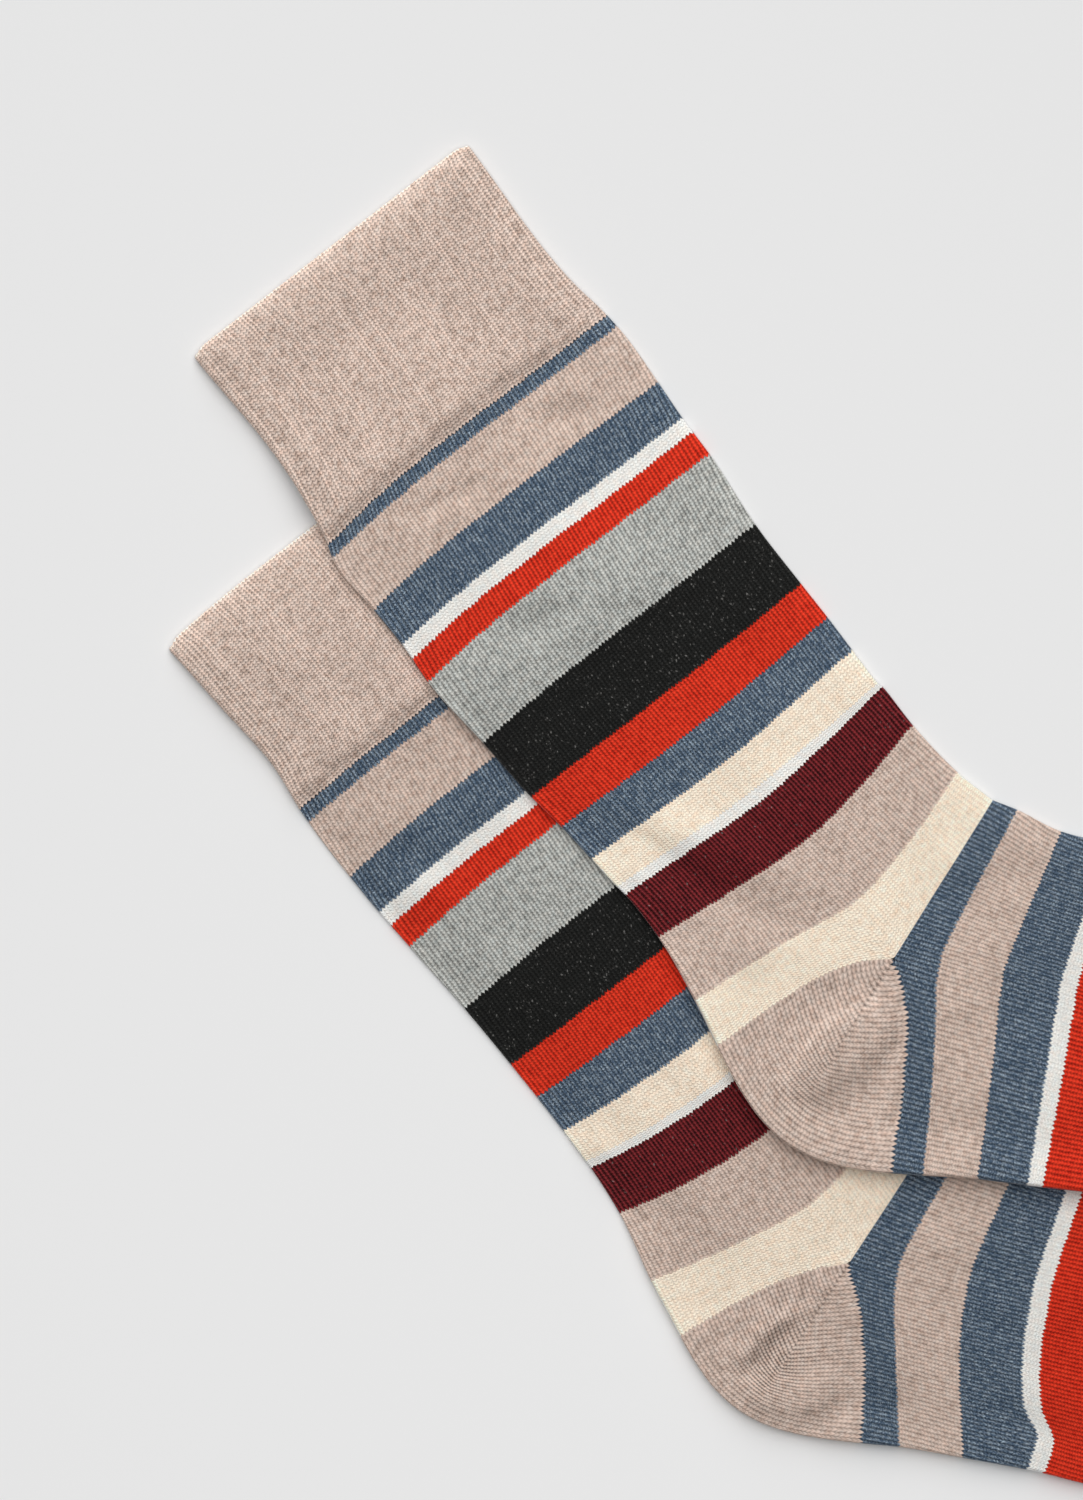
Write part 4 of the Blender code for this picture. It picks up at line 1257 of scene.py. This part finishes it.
@dataclass
class TubePiece(ClothPiece):
    """A stretch of tube between two courses."""

    first: float
    last: float

    def plan_of(self, wale: Coordinate, course: Coordinate) -> Array:
        """Plan points of the piece."""
        return self.form.plan.leg(wale, course)

    def fold_ends(self, wale: float) -> Ends:
        """Directions of the fold at this wale, at both ends where a neighbour shares it."""
        raise NotImplementedError

    def wander(self, courses: Array) -> Array:
        """How far the wales have strayed at each course."""
        return leaning(LEG_LEANS, courses)

    def radius(self, courses: Array) -> Array:
        """Half the flat sock's thickness at each course."""
        return np.full(len(courses), flat_thickness(WALL) / 2)

    def courses(self) -> Array:
        """The course of each row of the mesh."""
        return np.linspace(self.first, self.last, steps_for((self.last - self.first) * COURSE) + 1)

    def edge_distance(self, u: Array, v: Array) -> Array:
        """Millimetres from the nearest fold, by wales from the front fold."""
        return fuzz_distance((u + WALES / 2) % WALES - WALES / 2, u % (2 * WALES) > WALES) * WALE

    def strayed(self, u: Array, v: Array) -> Array:
        """Courses of the stripes at each point, even ones on a plain tube."""
        return v

    def surfaces(self) -> tuple[Array, Array, Array]:
        """Outer and inner points, and the map values of each point, with one more column."""
        courses = self.courses()
        section = Section.tube(steps_for(TUBE_WIDTH))
        wale = section.place
        plan = self.plan_of(wale[None, :], courses[:, None])
        middle = self.plan_of(0.5, courses)
        front, back = (
            fold_normals(self.plan_of(fold, courses), middle, self.fold_ends(fold)) for fold in (0.0, 1.0)
        )
        past, inset = to_folds(section.past, front, back), to_folds(2 * wale - 1, front, back)
        radius = self.radius(courses)[:, None]
        outer, inner = self.form.walls(plan, past, section.height, inset, radius)
        fold = half_fold_wales(radius)
        top = np.where(section.u_share < 1.0, wale, 2.0 - wale)
        u = fold + (WALES - 2 * fold) * top + 2 * fold * section.u_share
        u = np.concatenate([u, u[:, :1] + 2 * WALES], axis=1)
        v = np.broadcast_to(courses[:, None], u.shape)
        wales = u - self.wander(courses)[:, None]
        maps = [wales, self.strayed(u, v), self.edge_distance(u, v), np.full(u.shape, NO_GORE)]
        return outer, inner, np.stack(maps, axis=-1)

    def weld(self) -> Weld:
        """Outer and inner wall, and what closes the cloth at both ends."""
        outer, inner, uv = self.surfaces()
        weld = Weld()
        weld.wall(outer, uv)
        weld.wall(inner[::-1], uv[::-1])
        self.close_start(weld, outer[0], inner[0], uv[0])
        weld.cap(outer[-1], inner[-1], uv[-1], True)
        return weld

    def close_start(self, weld: Weld, outer: Array, inner: Array, uv: Array) -> None:
        """A flat cap between the walls at the first course."""
        weld.cap(inner, outer, uv, True)


@dataclass
class Cuff(TubePiece):
    """The turned welt: a thick double layer with a rounded rim, thinning out into the leg."""

    rim_radius: float = WELT_WALL / 2
    corner: float = 1.3  # how far the rim's corners are rounded off
    corner_from: float = 0.93  # from this share of the way to a fold
    corner_courses: float = 6.0

    kind = "cuff"

    def edge_distance(self, u: Array, v: Array) -> Array:
        """Millimetres from the nearest fold or from the rim."""
        return np.minimum(super().edge_distance(u, v), self.rim_distance(v))

    def rim_distance(self, v: Array) -> Array:
        """Millimetres from the rim's outermost line, a quarter round past its first course."""
        past = v * COURSE - self.rim_radius * (1.0 - math.pi / 2)
        return fuzz_distance(past, past < 0.0)

    def courses(self) -> Array:
        """Rows from just inside the rim, closer together where the welt thins out."""
        start = self.first + self.rim_radius / COURSE
        body = np.linspace(start, WELT_BODY_END, steps_for((WELT_BODY_END - start) * COURSE) + 1)
        return np.append(body, np.linspace(WELT_BODY_END, self.last, WELT_FALL_STEPS + 1)[1:])

    def plan_of(self, wale: Coordinate, course: Coordinate) -> Array:
        """Plan points, with the corners of the rim drawn in."""
        aside = np.abs(2.0 * np.asarray(wale, float) - 1.0)
        near_fold = np.clip((aside - self.corner_from) / (1.0 - self.corner_from), 0, 1) ** 2
        near_rim = np.clip(1.0 - np.asarray(course, float) / self.corner_courses, 0, 1) ** 2
        drawn = (self.corner * near_fold * near_rim)[..., None] * self.form.plan.leg_forward()
        return super().plan_of(wale, course) + drawn

    def radius(self, courses: Array) -> Array:
        """Thick welt, then a smooth fall to plain knit at the last course."""
        thick, thin = flat_thickness(WELT_WALL) / 2, flat_thickness(WALL) / 2
        fall = smooth_step((courses - WELT_FALL_START) / (self.last - WELT_FALL_START))
        return thick + (thin - thick) * fall

    def fold_ends(self, wale: float) -> Ends:
        """The leg's folds run on at the welt's end."""
        return None, self.form.plan.leg_fold(wale, self.last)

    def close_start(self, weld: Weld, outer: Array, inner: Array, uv: Array) -> None:
        """A half round rim.

        Its points: middle + (outer - middle) cos(a) - forward * radius sin(a), a from 0 to pi.
        """
        forward = np.append(self.form.plan.leg_forward(), 0.0) * MM
        middle = (outer + inner) / 2
        angle = np.linspace(0.0, math.pi, RIM_STEPS + 1)[:, None, None]
        rim = middle + (outer - middle) * np.cos(angle) - forward * self.rim_radius * np.sin(angle)
        rows = np.repeat(uv[None], RIM_STEPS + 1, axis=0)
        rows[..., 1] -= angle[:, :, 0] * self.rim_radius / COURSE
        rows[..., 2] = np.minimum(uv[:, 2], self.rim_distance(rows[..., 1]))
        weld.wall(rim[::-1], rows[::-1])


@dataclass
class Leg(TubePiece):
    """The striped tube from the welt down to the heel."""

    kind = "leg"

    def fold_ends(self, wale: float) -> Ends:
        """The folds run on from the welt and into the foot and the heel."""
        plan = self.form.plan
        return plan.leg_fold(wale, self.first), plan.leg_leaves() if wale else plan.front_turn()


@dataclass(frozen=True)
class Slip:
    """A place where the courses, and so the stripes, stray from their even run."""

    wale: float  # share of the way round the tube's top, 1 at the back fold
    course: float
    amount: float  # in courses, towards the toe
    wale_width: float
    course_width: float

    def at(self, wale: Array, course: Array) -> Array:
        """amount * exp(-((wale - w)/width)² - ((course - c)/width)²)."""
        off = ((wale - self.wale) / self.wale_width) ** 2 + ((course - self.course) / self.course_width) ** 2
        return self.amount * np.exp(-off)


@dataclass
class Foot(TubePiece):
    """The striped tube from the heel to the toe."""

    slips: tuple[Slip, ...] = ()

    kind = "foot"

    def strayed(self, u: Array, v: Array) -> Array:
        """Courses with the slips of the stripes."""
        return v - sum((slip.at(u / WALES, v) for slip in self.slips), np.zeros(v.shape))

    def plan_of(self, wale: Coordinate, course: Coordinate) -> Array:
        """Plan points of the foot."""
        return self.form.plan.foot(wale, course)

    def wander(self, courses: Array) -> Array:
        """How far the wales have strayed at each course, going on from the leg's end."""
        return leaning(LEG_LEANS, LEG_END) + leaning(FOOT_LEANS, courses)

    def fold_ends(self, wale: float) -> Ends:
        """The folds run on from the leg and the heel and into the toe."""
        plan = self.form.plan
        return plan.foot_arrives() if wale else plan.front_turn(), plan.foot_end(wale)


@dataclass
class Pocket(ClothPiece):
    """A fan of courses round a corner on the side of the sock."""

    half_courses: float = 26.0  # courses from the first one to the gore
    full_reach: float = 42.0  # distance from the corner past which no course is short

    def plan_of(self, reach: Coordinate, turn: Coordinate) -> Array:
        """Plan points of the pocket."""
        raise NotImplementedError

    def fold_ends(self) -> Ends:
        """Directions of the fold at the first and the last course."""
        raise NotImplementedError

    def wale_reach(self, distance: Array, turn: Array) -> Array:
        """How far out a stitch's wale lies: the wales run round in arcs like the outline."""
        return distance

    def turns(self) -> Array:
        """The turn of each row of the mesh, with one row on the gore."""
        curve = self.plan_of(1.0, np.linspace(0.0, 1.0, OUTLINE_STEPS[0]))
        length = np.linalg.norm(np.diff(curve, axis=0), axis=-1).sum()
        return np.linspace(0.0, 1.0, steps_for(float(length), even=True) + 1)

    def gore_offset(self, distance: Array, turn: Array) -> Array:
        """Millimetres from the gore, for pockets that show one."""
        return np.full(distance.shape, NO_GORE)

    def crest_offset(self, plan: Array) -> Array:
        """Millimetres from a crest that gets the same painted highlight as a fold, if there is one."""
        return np.full(plan.shape[:-1], NO_GORE)

    def uv(self, section: Section, plan: Array, distance: Array, turn: Array, late: Array) -> Array:
        """The four map values of each point.

        U runs from the side (42) to the fold by the wale's reach, and on round it. V counts
        from the first course in the first half and up to the last one in the second:
        half_courses * min(distance / full_reach, 1) lie on each side of the gore.

        Args:
            section: the pocket's section.
            plan: plan points.
            distance: their distances from the corner.
            turn: the turn of each row.
            late: which rows belong to the second half.

        Returns:
            The values, with a last axis of four.
        """
        fold = half_fold_wales(np.array(flat_thickness(WALL) / 2))
        reach = self.wale_reach(distance, turn)
        share = reach / np.maximum(reach.max(axis=1, keepdims=True), TINY)
        top = np.where(section.u_share < 1.0, share, 2.0 - share)
        top = np.where((section.u_share > 0) & (section.u_share < 1), 1.0, top)
        u = WALES / 2 + (WALES / 2 - fold) * top + 2 * fold * section.u_share
        to_gore = self.half_courses * np.minimum(distance / self.full_reach, 1.0)
        v = np.where(late, HEEL_TURN_COURSE - to_gore * (1 - turn) * 2, to_gore * turn * 2)
        edge = np.minimum(fuzz_distance(u - WALES, u > WALES) * WALE, self.crest_offset(plan))
        return np.stack([u, v, edge, self.gore_offset(distance, turn)], axis=-1)

    def weld(self) -> Weld:
        """Outer and inner wall, and a cap along the first and the last course."""
        turn = self.turns()
        section = Section.pocket(steps_for(POCKET_REACH))
        plan = self.plan_of(section.place[None, :], turn[:, None])
        corner = self.plan_of(0.0, 0.5)
        out = fold_normals(self.plan_of(1.0, turn), corner, self.fold_ends())
        radius = np.full((len(turn), 1), flat_thickness(WALL) / 2)
        inset = section.place[:, None] * out
        outer, inner = self.form.walls(plan, section.past[:, None] * out, section.height, inset, radius)
        distance = np.linalg.norm(plan - corner, axis=-1)
        ends = turn[:-1, None], turn[1:, None]
        late = sum(ends) / 2 > 0.5
        low = self.uv(section, plan[:-1], distance[:-1], ends[0], late)
        high = self.uv(section, plan[1:], distance[1:], ends[1], late)
        weld = Weld()
        weld.add(outer, low, high, False, 0)
        weld.add(inner[::-1], high[::-1], low[::-1], False, 0)
        weld.cap(inner[0], outer[0], low[0], False)
        weld.cap(outer[-1], inner[-1], high[-1], False)
        return weld


@dataclass
class Heel(Pocket):
    """The reciprocated heel pocket with its gore."""

    sharp_until: float = 27.0  # wales turn sharply at the gore up to here
    round_from: float = 45.0  # and run round the heel in arcs from here on
    crest: Points = ()  # plan X, Y of the crest of its swell, which gets the folds' painted highlight
    crest_depth: float = 1.65  # how much further than a fold the crest counts at its top, for the painted highlight
    crest_width: float = 4.0
    crest_rise: float = 0.5  # how fast the distance from the crest counts

    kind = "heel"

    def plan_of(self, reach: Coordinate, turn: Coordinate) -> Array:
        """Plan points of the heel."""
        return self.form.plan.heel(reach, turn)

    def fold_ends(self) -> Ends:
        """The folds of the leg and the foot run on."""
        return self.form.plan.leg_leaves(), self.form.plan.foot_arrives()

    def fan(self) -> float:
        """The angle between the first and the last course, in radians."""
        plan = self.form.plan
        corner = plan.leg(0.5, LEG_END)
        first, last = unit(plan.leg(1.0, LEG_END) - corner), unit(plan.foot(1.0, 0.0) - corner)
        return math.acos(float(first @ last))

    def crest_offset(self, plan: Array) -> Array:
        """Depth plus half the distance from the crest, and more towards the crest's ends."""
        if not self.crest:
            return super().crest_offset(plan)
        bell = Crease(self.crest, self.crest_width, 1.0, fade=0.10).relief(plan)
        away = self.crest_width * np.sqrt(-np.log(np.clip(bell, TINY, 1.0)))
        return self.crest_depth + self.crest_rise * away

    def gore_offset(self, distance: Array, turn: Array) -> Array:
        """The arc from the gore, which lies at turn 0.5."""
        return (turn - 0.5) * self.fan() * distance

    def wale_reach(self, distance: Array, turn: Array) -> Array:
        """r cos(angle to the nearer end course) near the corner, r itself far from it."""
        mitred = distance * np.cos(self.fan() * np.minimum(turn, 1 - turn))
        rounding = smooth_step((distance - self.sharp_until) / (self.round_from - self.sharp_until))
        return mitred + (distance - mitred) * rounding


@dataclass
class Toe(Pocket):
    """The reciprocated toe pocket, closed by the linked seam on the instep."""

    kind = "toe"

    def plan_of(self, reach: Coordinate, turn: Coordinate) -> Array:
        """Plan points of the toe."""
        return self.form.plan.toe(reach, turn)

    def fold_ends(self) -> Ends:
        """The folds of the foot run on, forwards on the sole and backwards on the instep."""
        return self.form.plan.foot_end(1.0), -self.form.plan.foot_end(0.0)


# ---- Socks ------------------------------------------------------------------------------------
def with_teeth(bands: Bands, following: Yarn) -> Bands:
    """The bands, and the next yarn for the teeth that rise past the last course."""
    return bands + ((following, bands[-1][1] + TEETH_COURSES),)


@dataclass
class Sock:
    """One sock: five knitted pieces that share a form."""

    form: SockForm
    seed: float
    rests_on: tuple[str, ...]
    tones: tuple[float, float, float, float]  # of cuff, leg, heel and foot; partly painted shade, lower on the pieces further from the key light
    heel_crest: Points = ()
    parted: float = 0.9  # how much more the heel's wales stand apart where its gore ends, deepening their painted highlight and shade
    slips: tuple[Slip, ...] = ()  # of the foot's stripes

    def knit(
        self, kind: str, number: int, first: int, bands: Bands, **finish: object
    ) -> tuple[SockForm, tuple[str, ...], bpy.types.Material]:
        """What every piece needs first: the form, what it rests on and its material."""
        name = f"{self.form.plan.name}_{kind}_knit"
        tone = self.tones[min(number, len(self.tones) - 1)]
        look = KnitFinish(name, bands, first, self.seed + number, tone=tone, **finish)
        return self.form, self.rests_on, look.material()

    def pieces(self) -> list[ClothPiece]:
        """The sock's pieces, from the rim to the toe, with their flat cuts in metres."""
        plain: Bands = ((Yarn.BEIGE, HEEL_TURN_COURSE),)
        cuff = self.knit(
            "cuff", 0, CUFF_START, with_teeth(LEG_BANDS[:1], Yarn.BLUE),
            lines=0.6, wale_gap=0.34, row_gap=0.54, depth=1.5, fuzz=1.5,
        )
        leg = self.knit("leg", 1, CUFF_END, with_teeth(LEG_BANDS[1:], Yarn.BLUE), side_yarn=Yarn.BEIGE)
        heel = self.knit("heel", 2, 0, with_teeth(plain, Yarn.BLUE), gore=True, parted=self.parted)
        foot = self.knit("foot", 3, 0, with_teeth(FOOT_BANDS, Yarn.BEIGE))
        toe = self.knit("toe", 4, 0, with_teeth(plain, Yarn.BEIGE))
        return [
            Cuff(*cuff, flat=(0.178, 0.058), area=0.0100, first=0.0, last=CUFF_END),
            Leg(*leg, flat=(0.176, 0.172), area=0.0296, first=CUFF_END, last=LEG_END),
            Heel(*heel, flat=(0.098, 0.060), area=0.0036, crest=self.heel_crest),
            Foot(*foot, flat=(0.176, 0.160), area=0.0262, first=0.0, last=FOOT_END, slips=self.slips),
            Toe(*toe, flat=(0.086, 0.076), area=0.0058),
        ]


def sole_ridge(plan: SockPlan, height: float, width: float) -> Crease:
    """The fold of the heel and the sole, which stands up a little from where it rests."""
    leg = plan.leg(1.0, np.array([205.0, 228.0, 250.0]))
    heel = plan.heel_curve(np.linspace(0.05, 1.0, 5))[:-1]
    sole = plan.foot(1.0, np.linspace(0.0, 165.0, 5))
    return Crease(np.concatenate([leg, heel, sole]), width, height, fade=0.16)


def leg_ridge(plan: SockPlan, height: float) -> Crease:
    """The leg's back fold, which stands up a little along its whole length."""
    return Crease(plan.leg(1.0, np.linspace(55.0, 232.0, 7)), 4.5, height, fade=0.12)


def welt_rolls(plan: SockPlan, height: float) -> tuple[Crease, Crease]:
    """The welt's back fold, too springy to lie pressed, and a roll that rounds its front one."""
    courses = np.linspace(-3.0, 72.0, 4)
    back = Crease(plan.leg(1.0, courses), 6.0, height, fade=0.2)
    return back, Crease(plan.leg(0.06, courses), width=4.5, height=0.24, fade=0.1)


def gore(plan: SockPlan) -> tuple[Crease, Crease]:
    """The heel's gore: a fine groove from the corner, and the hollow that it ends in."""
    groove = plan.heel(reach=np.array([0.03, 0.16, 0.30, 0.42]), turn=0.5)
    hollow = plan.heel(reach=np.array([0.34, 0.46, 0.60]), turn=np.array([0.47, 0.5, 0.56]))
    return (
        Crease(groove, width=1.2, height=-0.12, fade=0.2),
        Crease(hollow, width=3.0, height=-0.10, fade=0.45),
    )


# The crest of the upper heel's swell, in plan, which gets the folds' painted highlight.
UPPER_HEEL_CREST: Points = (
    (57.5, -86), (59.9, -82.4), (61.9, -79.2), (65.3, -74.1), (68.1, -70.9), (71.7, -68.2), (75.4, -66.6),
    (79.1, -65), (81.8, -63.6), (86.5, -60),
)
# Points in plan, width, height, fade, and for some the power and the taper.
UPPER_CREASES: tuple[Crease, ...] = (
    # The long soft trough that runs from the leg to the heel, and the swell above it.
    Crease(((-0.4, -15), (13, -21), (27.1, -27.5), (44.6, -37), (58, -43.5), (70.5, -49)), 4, -0.8, 0.25),
    Crease(((22, -15), (36, -20.5), (50, -27.5), (60, -32.5), (72, -38)), 4.5, 0.6, 0.35),
    Crease(((42, -48.5), (50, -51.5), (58, -55.5)), 4.5, 0.5, 0.5),
    # Short waves in the plain bands of the leg.
    Crease(((-2.9, 81.3), (9, 84.5), (19.6, 86.3)), 3, -0.45, 0.4),
    Crease(((-4, 86.5), (7, 89.5), (18, 91)), 3.4, 0.35, 0.4),
    Crease(((-34, 56.5), (-29, 59.5), (-23.2, 62.4), (-15, 65.4), (-8, 67.5)), 1.9, -0.48, 0.4),
    Crease(((-33, 52), (-24.5, 57), (-15, 60.5)), 2.6, 0.32, 0.4),
    Crease(((-10.4, 26.3), (1, 32), (12.1, 38.8)), 3.6, -0.5, 0.4),
    Crease(((-14, 31.5), (-3, 37.5), (7, 43.5)), 4, 0.4, 0.4),
    Crease(((14.6, 37.5), (18, 34.5), (20.9, 31.3)), 2.6, -0.4, 0.5),
    # The welt: its last courses dip towards the front fold.
    Crease(((0, 102), (6, 106), (12, 111.5), (17, 115)), 2.2, -0.55, 0.45),
    Crease(((-20, 84.5), (-10, 92), (-2, 99)), 2.4, -0.3, 0.4),
    Crease(((-77, 99), (-46, 123), (-15, 146)), 8, 0.28, 0.2),
    Crease(((-69, 85), (-38, 109), (-6, 133)), 8, -0.28, 0.2),
    # The heel: a swell along its gore, with a trough on each side.
    Crease(
        ((89, -60.5), (82.6, -67.8), (78.2, -71.9), (73.5, -76.5), (67.6, -80.7), (63, -83), (57, -86)),
        8.2, 0.9, 0.3, 4, 0.7,
    ),
    Crease(((92.5, -66), (89.5, -73), (85.5, -80.5), (79.5, -88), (71, -91.5), (62, -89.5)), 2.6, -0.22, 0.3),
    Crease(((86, -55.5), (76.5, -59), (66, -65), (58, -71.5), (51, -79)), 3.2, -0.25, 0.3),
    Crease(((100, -60), (104, -66), (103, -73)), 4, 0.4, 0.5),
    # The foot, seen and unseen.
    Crease(((112, -27), (117.1, -31.3), (121, -37)), 4, -0.5, 0.5),
    Crease(((98, -22), (104, -28), (108, -36)), 4, 0.35, 0.5),
    Crease(((150, -30), (163, -37), (178, -39)), 4.5, -0.55, 0.4),
    Crease(((152, -62), (166, -58), (184, -60)), 4.5, 0.55, 0.4),
    Crease(((190, -75), (204, -66), (216, -62)), 4, -0.5, 0.4),
    Crease(((222, -45), (232, -52), (238, -62)), 4.5, 0.6, 0.4),
)
LOWER_CREASES: tuple[Crease, ...] = (
    # The heel: a sharp fold over a hollow, and a swell that curves round below it.
    Crease(
        ((67, -141.2), (63, -141.9), (58.5, -143.4), (54.9, -146.1), (51.7, -149.8), (48.2, -152.7),
         (44, -156)), 2.2, 0.74, 0.32,
    ),
    Crease(
        ((68, -145.4), (64.5, -145.8), (60.4, -147.2), (57.6, -150), (54.9, -153.6), (51.2, -156.2),
         (47, -159)), 2.4, -0.38, 0.32,
    ),
    Crease(((48, -157), (55, -162), (62.6, -163.2), (70.5, -161.2), (77.5, -155)), 4.2, 0.74, 0.3, 4),
    Crease(((47.5, -167), (55.5, -171), (65, -171.2), (73.5, -168), (80.5, -161)), 2.2, -0.3, 0.3),
    # The leg below the upper sock's edge.
    Crease(((-60, -8), (-56, -6), (-51, -2.5)), 2.4, -0.55, 0.5),
    Crease(((-44, -24), (-33, -26.5), (-22, -32)), 4, -0.45, 0.4),
    Crease(((-40, -33), (-28, -37), (-18, -43.5)), 4.4, 0.4, 0.4),
    Crease(((-18, -66), (-6, -72), (4, -80)), 4, -0.5, 0.4),
    Crease(((2, -96), (13, -100), (24, -108)), 4, 0.5, 0.4),
    Crease(((12, -112), (24, -114), (36, -120)), 3.6, -0.45, 0.4),
    # The foot, seen and unseen.
    Crease(((106, -139), (113.4, -143.8), (120, -151)), 3.2, -0.45, 0.5),
    Crease(((86, -118), (97, -122), (108, -129)), 4, 0.4, 0.4),
    Crease(((148, -118), (160, -124), (172, -124)), 4.5, -0.55, 0.4),
    Crease(((155, -150), (170, -145), (186, -148)), 4.5, 0.5, 0.4),
    Crease(((196, -122), (206, -130), (210, -142)), 4.5, 0.55, 0.4),
)
# Near the sole the lower sock's stripes bulge towards the toe and come back at the fold.
LOWER_SLIPS = (Slip(0.885, 53, 3, 0.05, 11), Slip(0.995, 53, -2.6, 0.035, 11))


# ---- Studio -----------------------------------------------------------------------------------
@dataclass(frozen=True)
class Studio:
    """Plain pale floor, one broad soft light from overhead and behind, and an even fill."""

    floor_size: float = 8.0
    floor_color: Color = (0.80, 0.80, 0.80)
    floor_slope: tuple[float, float] = (0.018, -0.419)  # evens out the key light's falloff, per metre
    key_distance: float = 1.5
    key_size: tuple[float, float] = (1.5, 3.6)
    key_azimuth: float = 102.0  # direction of the light in plan, from +X
    key_elevation: float = 60.0
    key_power: float = 46.0
    fill: float = 0.10
    floor_middle: float = 0.9884  # brightness of the floor at the origin, beside its colour
    floor_limits: tuple[float, float] = (0.86, 1.11)
    floor_drop: float = 0.0001  # metres from the cloth down to the floor

    def floor(self) -> bpy.types.Object:
        """The floor just under the cloth."""
        half = self.floor_size / 2
        mesh = bpy.data.meshes.new("floor")
        corners = [(-half, -half), (half, -half), (half, half), (-half, half)]
        mesh.from_pydata([(x, y, -self.floor_drop) for x, y in corners], [], [(0, 1, 2, 3)])
        made = bpy.data.materials.new("floor_paper")
        made.use_nodes = True
        shader = made.node_tree.nodes["Principled BSDF"]
        desk = NodeDesk(made.node_tree)
        x, y, _ = desk.split(desk.out(desk.node("TexCoord", {}), "Object"))
        even = y * self.floor_slope[1] + (x * self.floor_slope[0] + self.floor_middle)
        even = even.math("MAXIMUM", self.floor_limits[0]).math("MINIMUM", self.floor_limits[1])
        desk.feed(shader.inputs["Base Color"], desk.colors("SCALE", desk.combine(*self.floor_color), even))
        desk.feed(shader.inputs["Roughness"], 1.0)
        desk.feed(shader.inputs["Specular IOR Level"], 0.0)
        mesh.materials.append(made)
        floor = placed("floor", mesh)
        return floor

    def lights(self) -> None:
        """The key light and the world's fill."""
        light = bpy.data.lights.new("key", "AREA")
        light.shape = "RECTANGLE"
        light.size, light.size_y = self.key_size
        light.energy = self.key_power
        key = placed("key", light)
        azimuth, elevation = math.radians(self.key_azimuth), math.radians(self.key_elevation)
        flat = math.cos(elevation) * self.key_distance
        up = math.sin(elevation) * self.key_distance
        key.location = (flat * math.cos(azimuth), flat * math.sin(azimuth), up)
        key.rotation_euler = (math.pi / 2 - elevation, 0.0, azimuth + math.pi / 2)
        world = bpy.data.worlds.new("studio")
        world.use_nodes = True
        background = world.node_tree.nodes["Background"]
        background.inputs["Color"].default_value = (1.0, 1.0, 1.0, 1.0)
        background.inputs["Strength"].default_value = self.fill
        bpy.context.scene.world = world

    def build(self) -> None:
        """Floor, lights and plain colour handling."""
        self.floor()
        self.lights()
        bpy.context.scene.view_settings.view_transform = "Standard"


@dataclass(frozen=True)
class StraightDownCamera:
    """A long lens straight above the cloth."""

    frame_height: float = 375.0  # millimetres of table from the picture's top to its bottom
    height: float = 3.0  # metres above the cloth
    cloth_height: float = 2.5  # millimetres, where that frame is measured
    sensor: float = 36.0
    clip_end: float = 20.0

    def build(self, shift: Array) -> bpy.types.Object:
        """Makes it the scene's camera, centred over the plan's own origin."""
        data = bpy.data.cameras.new("camera")
        data.sensor_fit = "AUTO"
        data.sensor_width = self.sensor
        data.lens = self.sensor * self.height / (self.frame_height * MM)
        data.clip_end = self.clip_end
        camera = placed("camera", data)
        camera.location = (shift[0] * MM, shift[1] * MM, self.height + self.cloth_height * MM)
        bpy.context.scene.camera = camera
        return camera


def frame_shift() -> Array:
    """From the plan to the frame: the upper cuff's rim holds its lowest X and its highest Y.

    The plain solid's folds are drawn in by the share of their radius that they don't reach.
    """
    low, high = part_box("upper_cuff")
    drawn = (1.0 - CAD_FOLD_REACH) * flat_thickness(WELT_WALL) / 2
    across = unit(UPPER.leg(0.0, 0.0) - UPPER.leg(1.0, 0.0))
    back, front = UPPER.leg(1.0, 0.0) + drawn * across, UPPER.leg(0.0, 0.0) - drawn * across
    return np.array([low[0] / MM - back[0], high[1] / MM - front[1]])


def socks(place: tuple[float, float]) -> list[Sock]:
    """The lower and the upper sock, at their place in the frame."""
    lower_creases = LOWER_CREASES + gore(LOWER)
    lower_creases += (sole_ridge(LOWER, height=1.3, width=5.5), *welt_rolls(LOWER, height=0.65))
    upper_creases = UPPER_CREASES + gore(UPPER)
    upper_creases += (sole_ridge(UPPER, height=2.05, width=6.5), leg_ridge(UPPER, height=0.45))
    upper_creases += welt_rolls(UPPER, height=0.85)
    lower = SockForm(LOWER, Table(), Relief(lower_creases, seed=11), UPPER, place)
    upper = SockForm(UPPER, LowerSockBelow(), Relief(upper_creases, seed=23), None, place)
    under_upper = ("floor", "lower_leg_knit", "lower_foot_knit", "lower_cuff_knit", "lower_heel_knit")
    return [
        Sock(lower, 3.0, ("floor",), tones=(1.145, 0.97, 0.955, 0.965), slips=LOWER_SLIPS),
        Sock(
            upper, 31.0, under_upper, tones=(1.13, 1.01, 0.975, 0.995),
            heel_crest=UPPER_HEEL_CREST, parted=0.35,
        ),
    ]


def main() -> None:
    """Builds the pair, the studio and the camera."""
    logging.basicConfig(level=logging.INFO, format="%(name)s: %(message)s")
    shift = frame_shift()
    LOG.info("plan to frame: %.3f, %.3f mm", *shift)
    for sock in socks((float(shift[0]), float(shift[1]))):
        for piece in sock.pieces():
            piece.build()
    Studio().build()
    StraightDownCamera().build(shift)


if __name__ == "__main__":
    main()
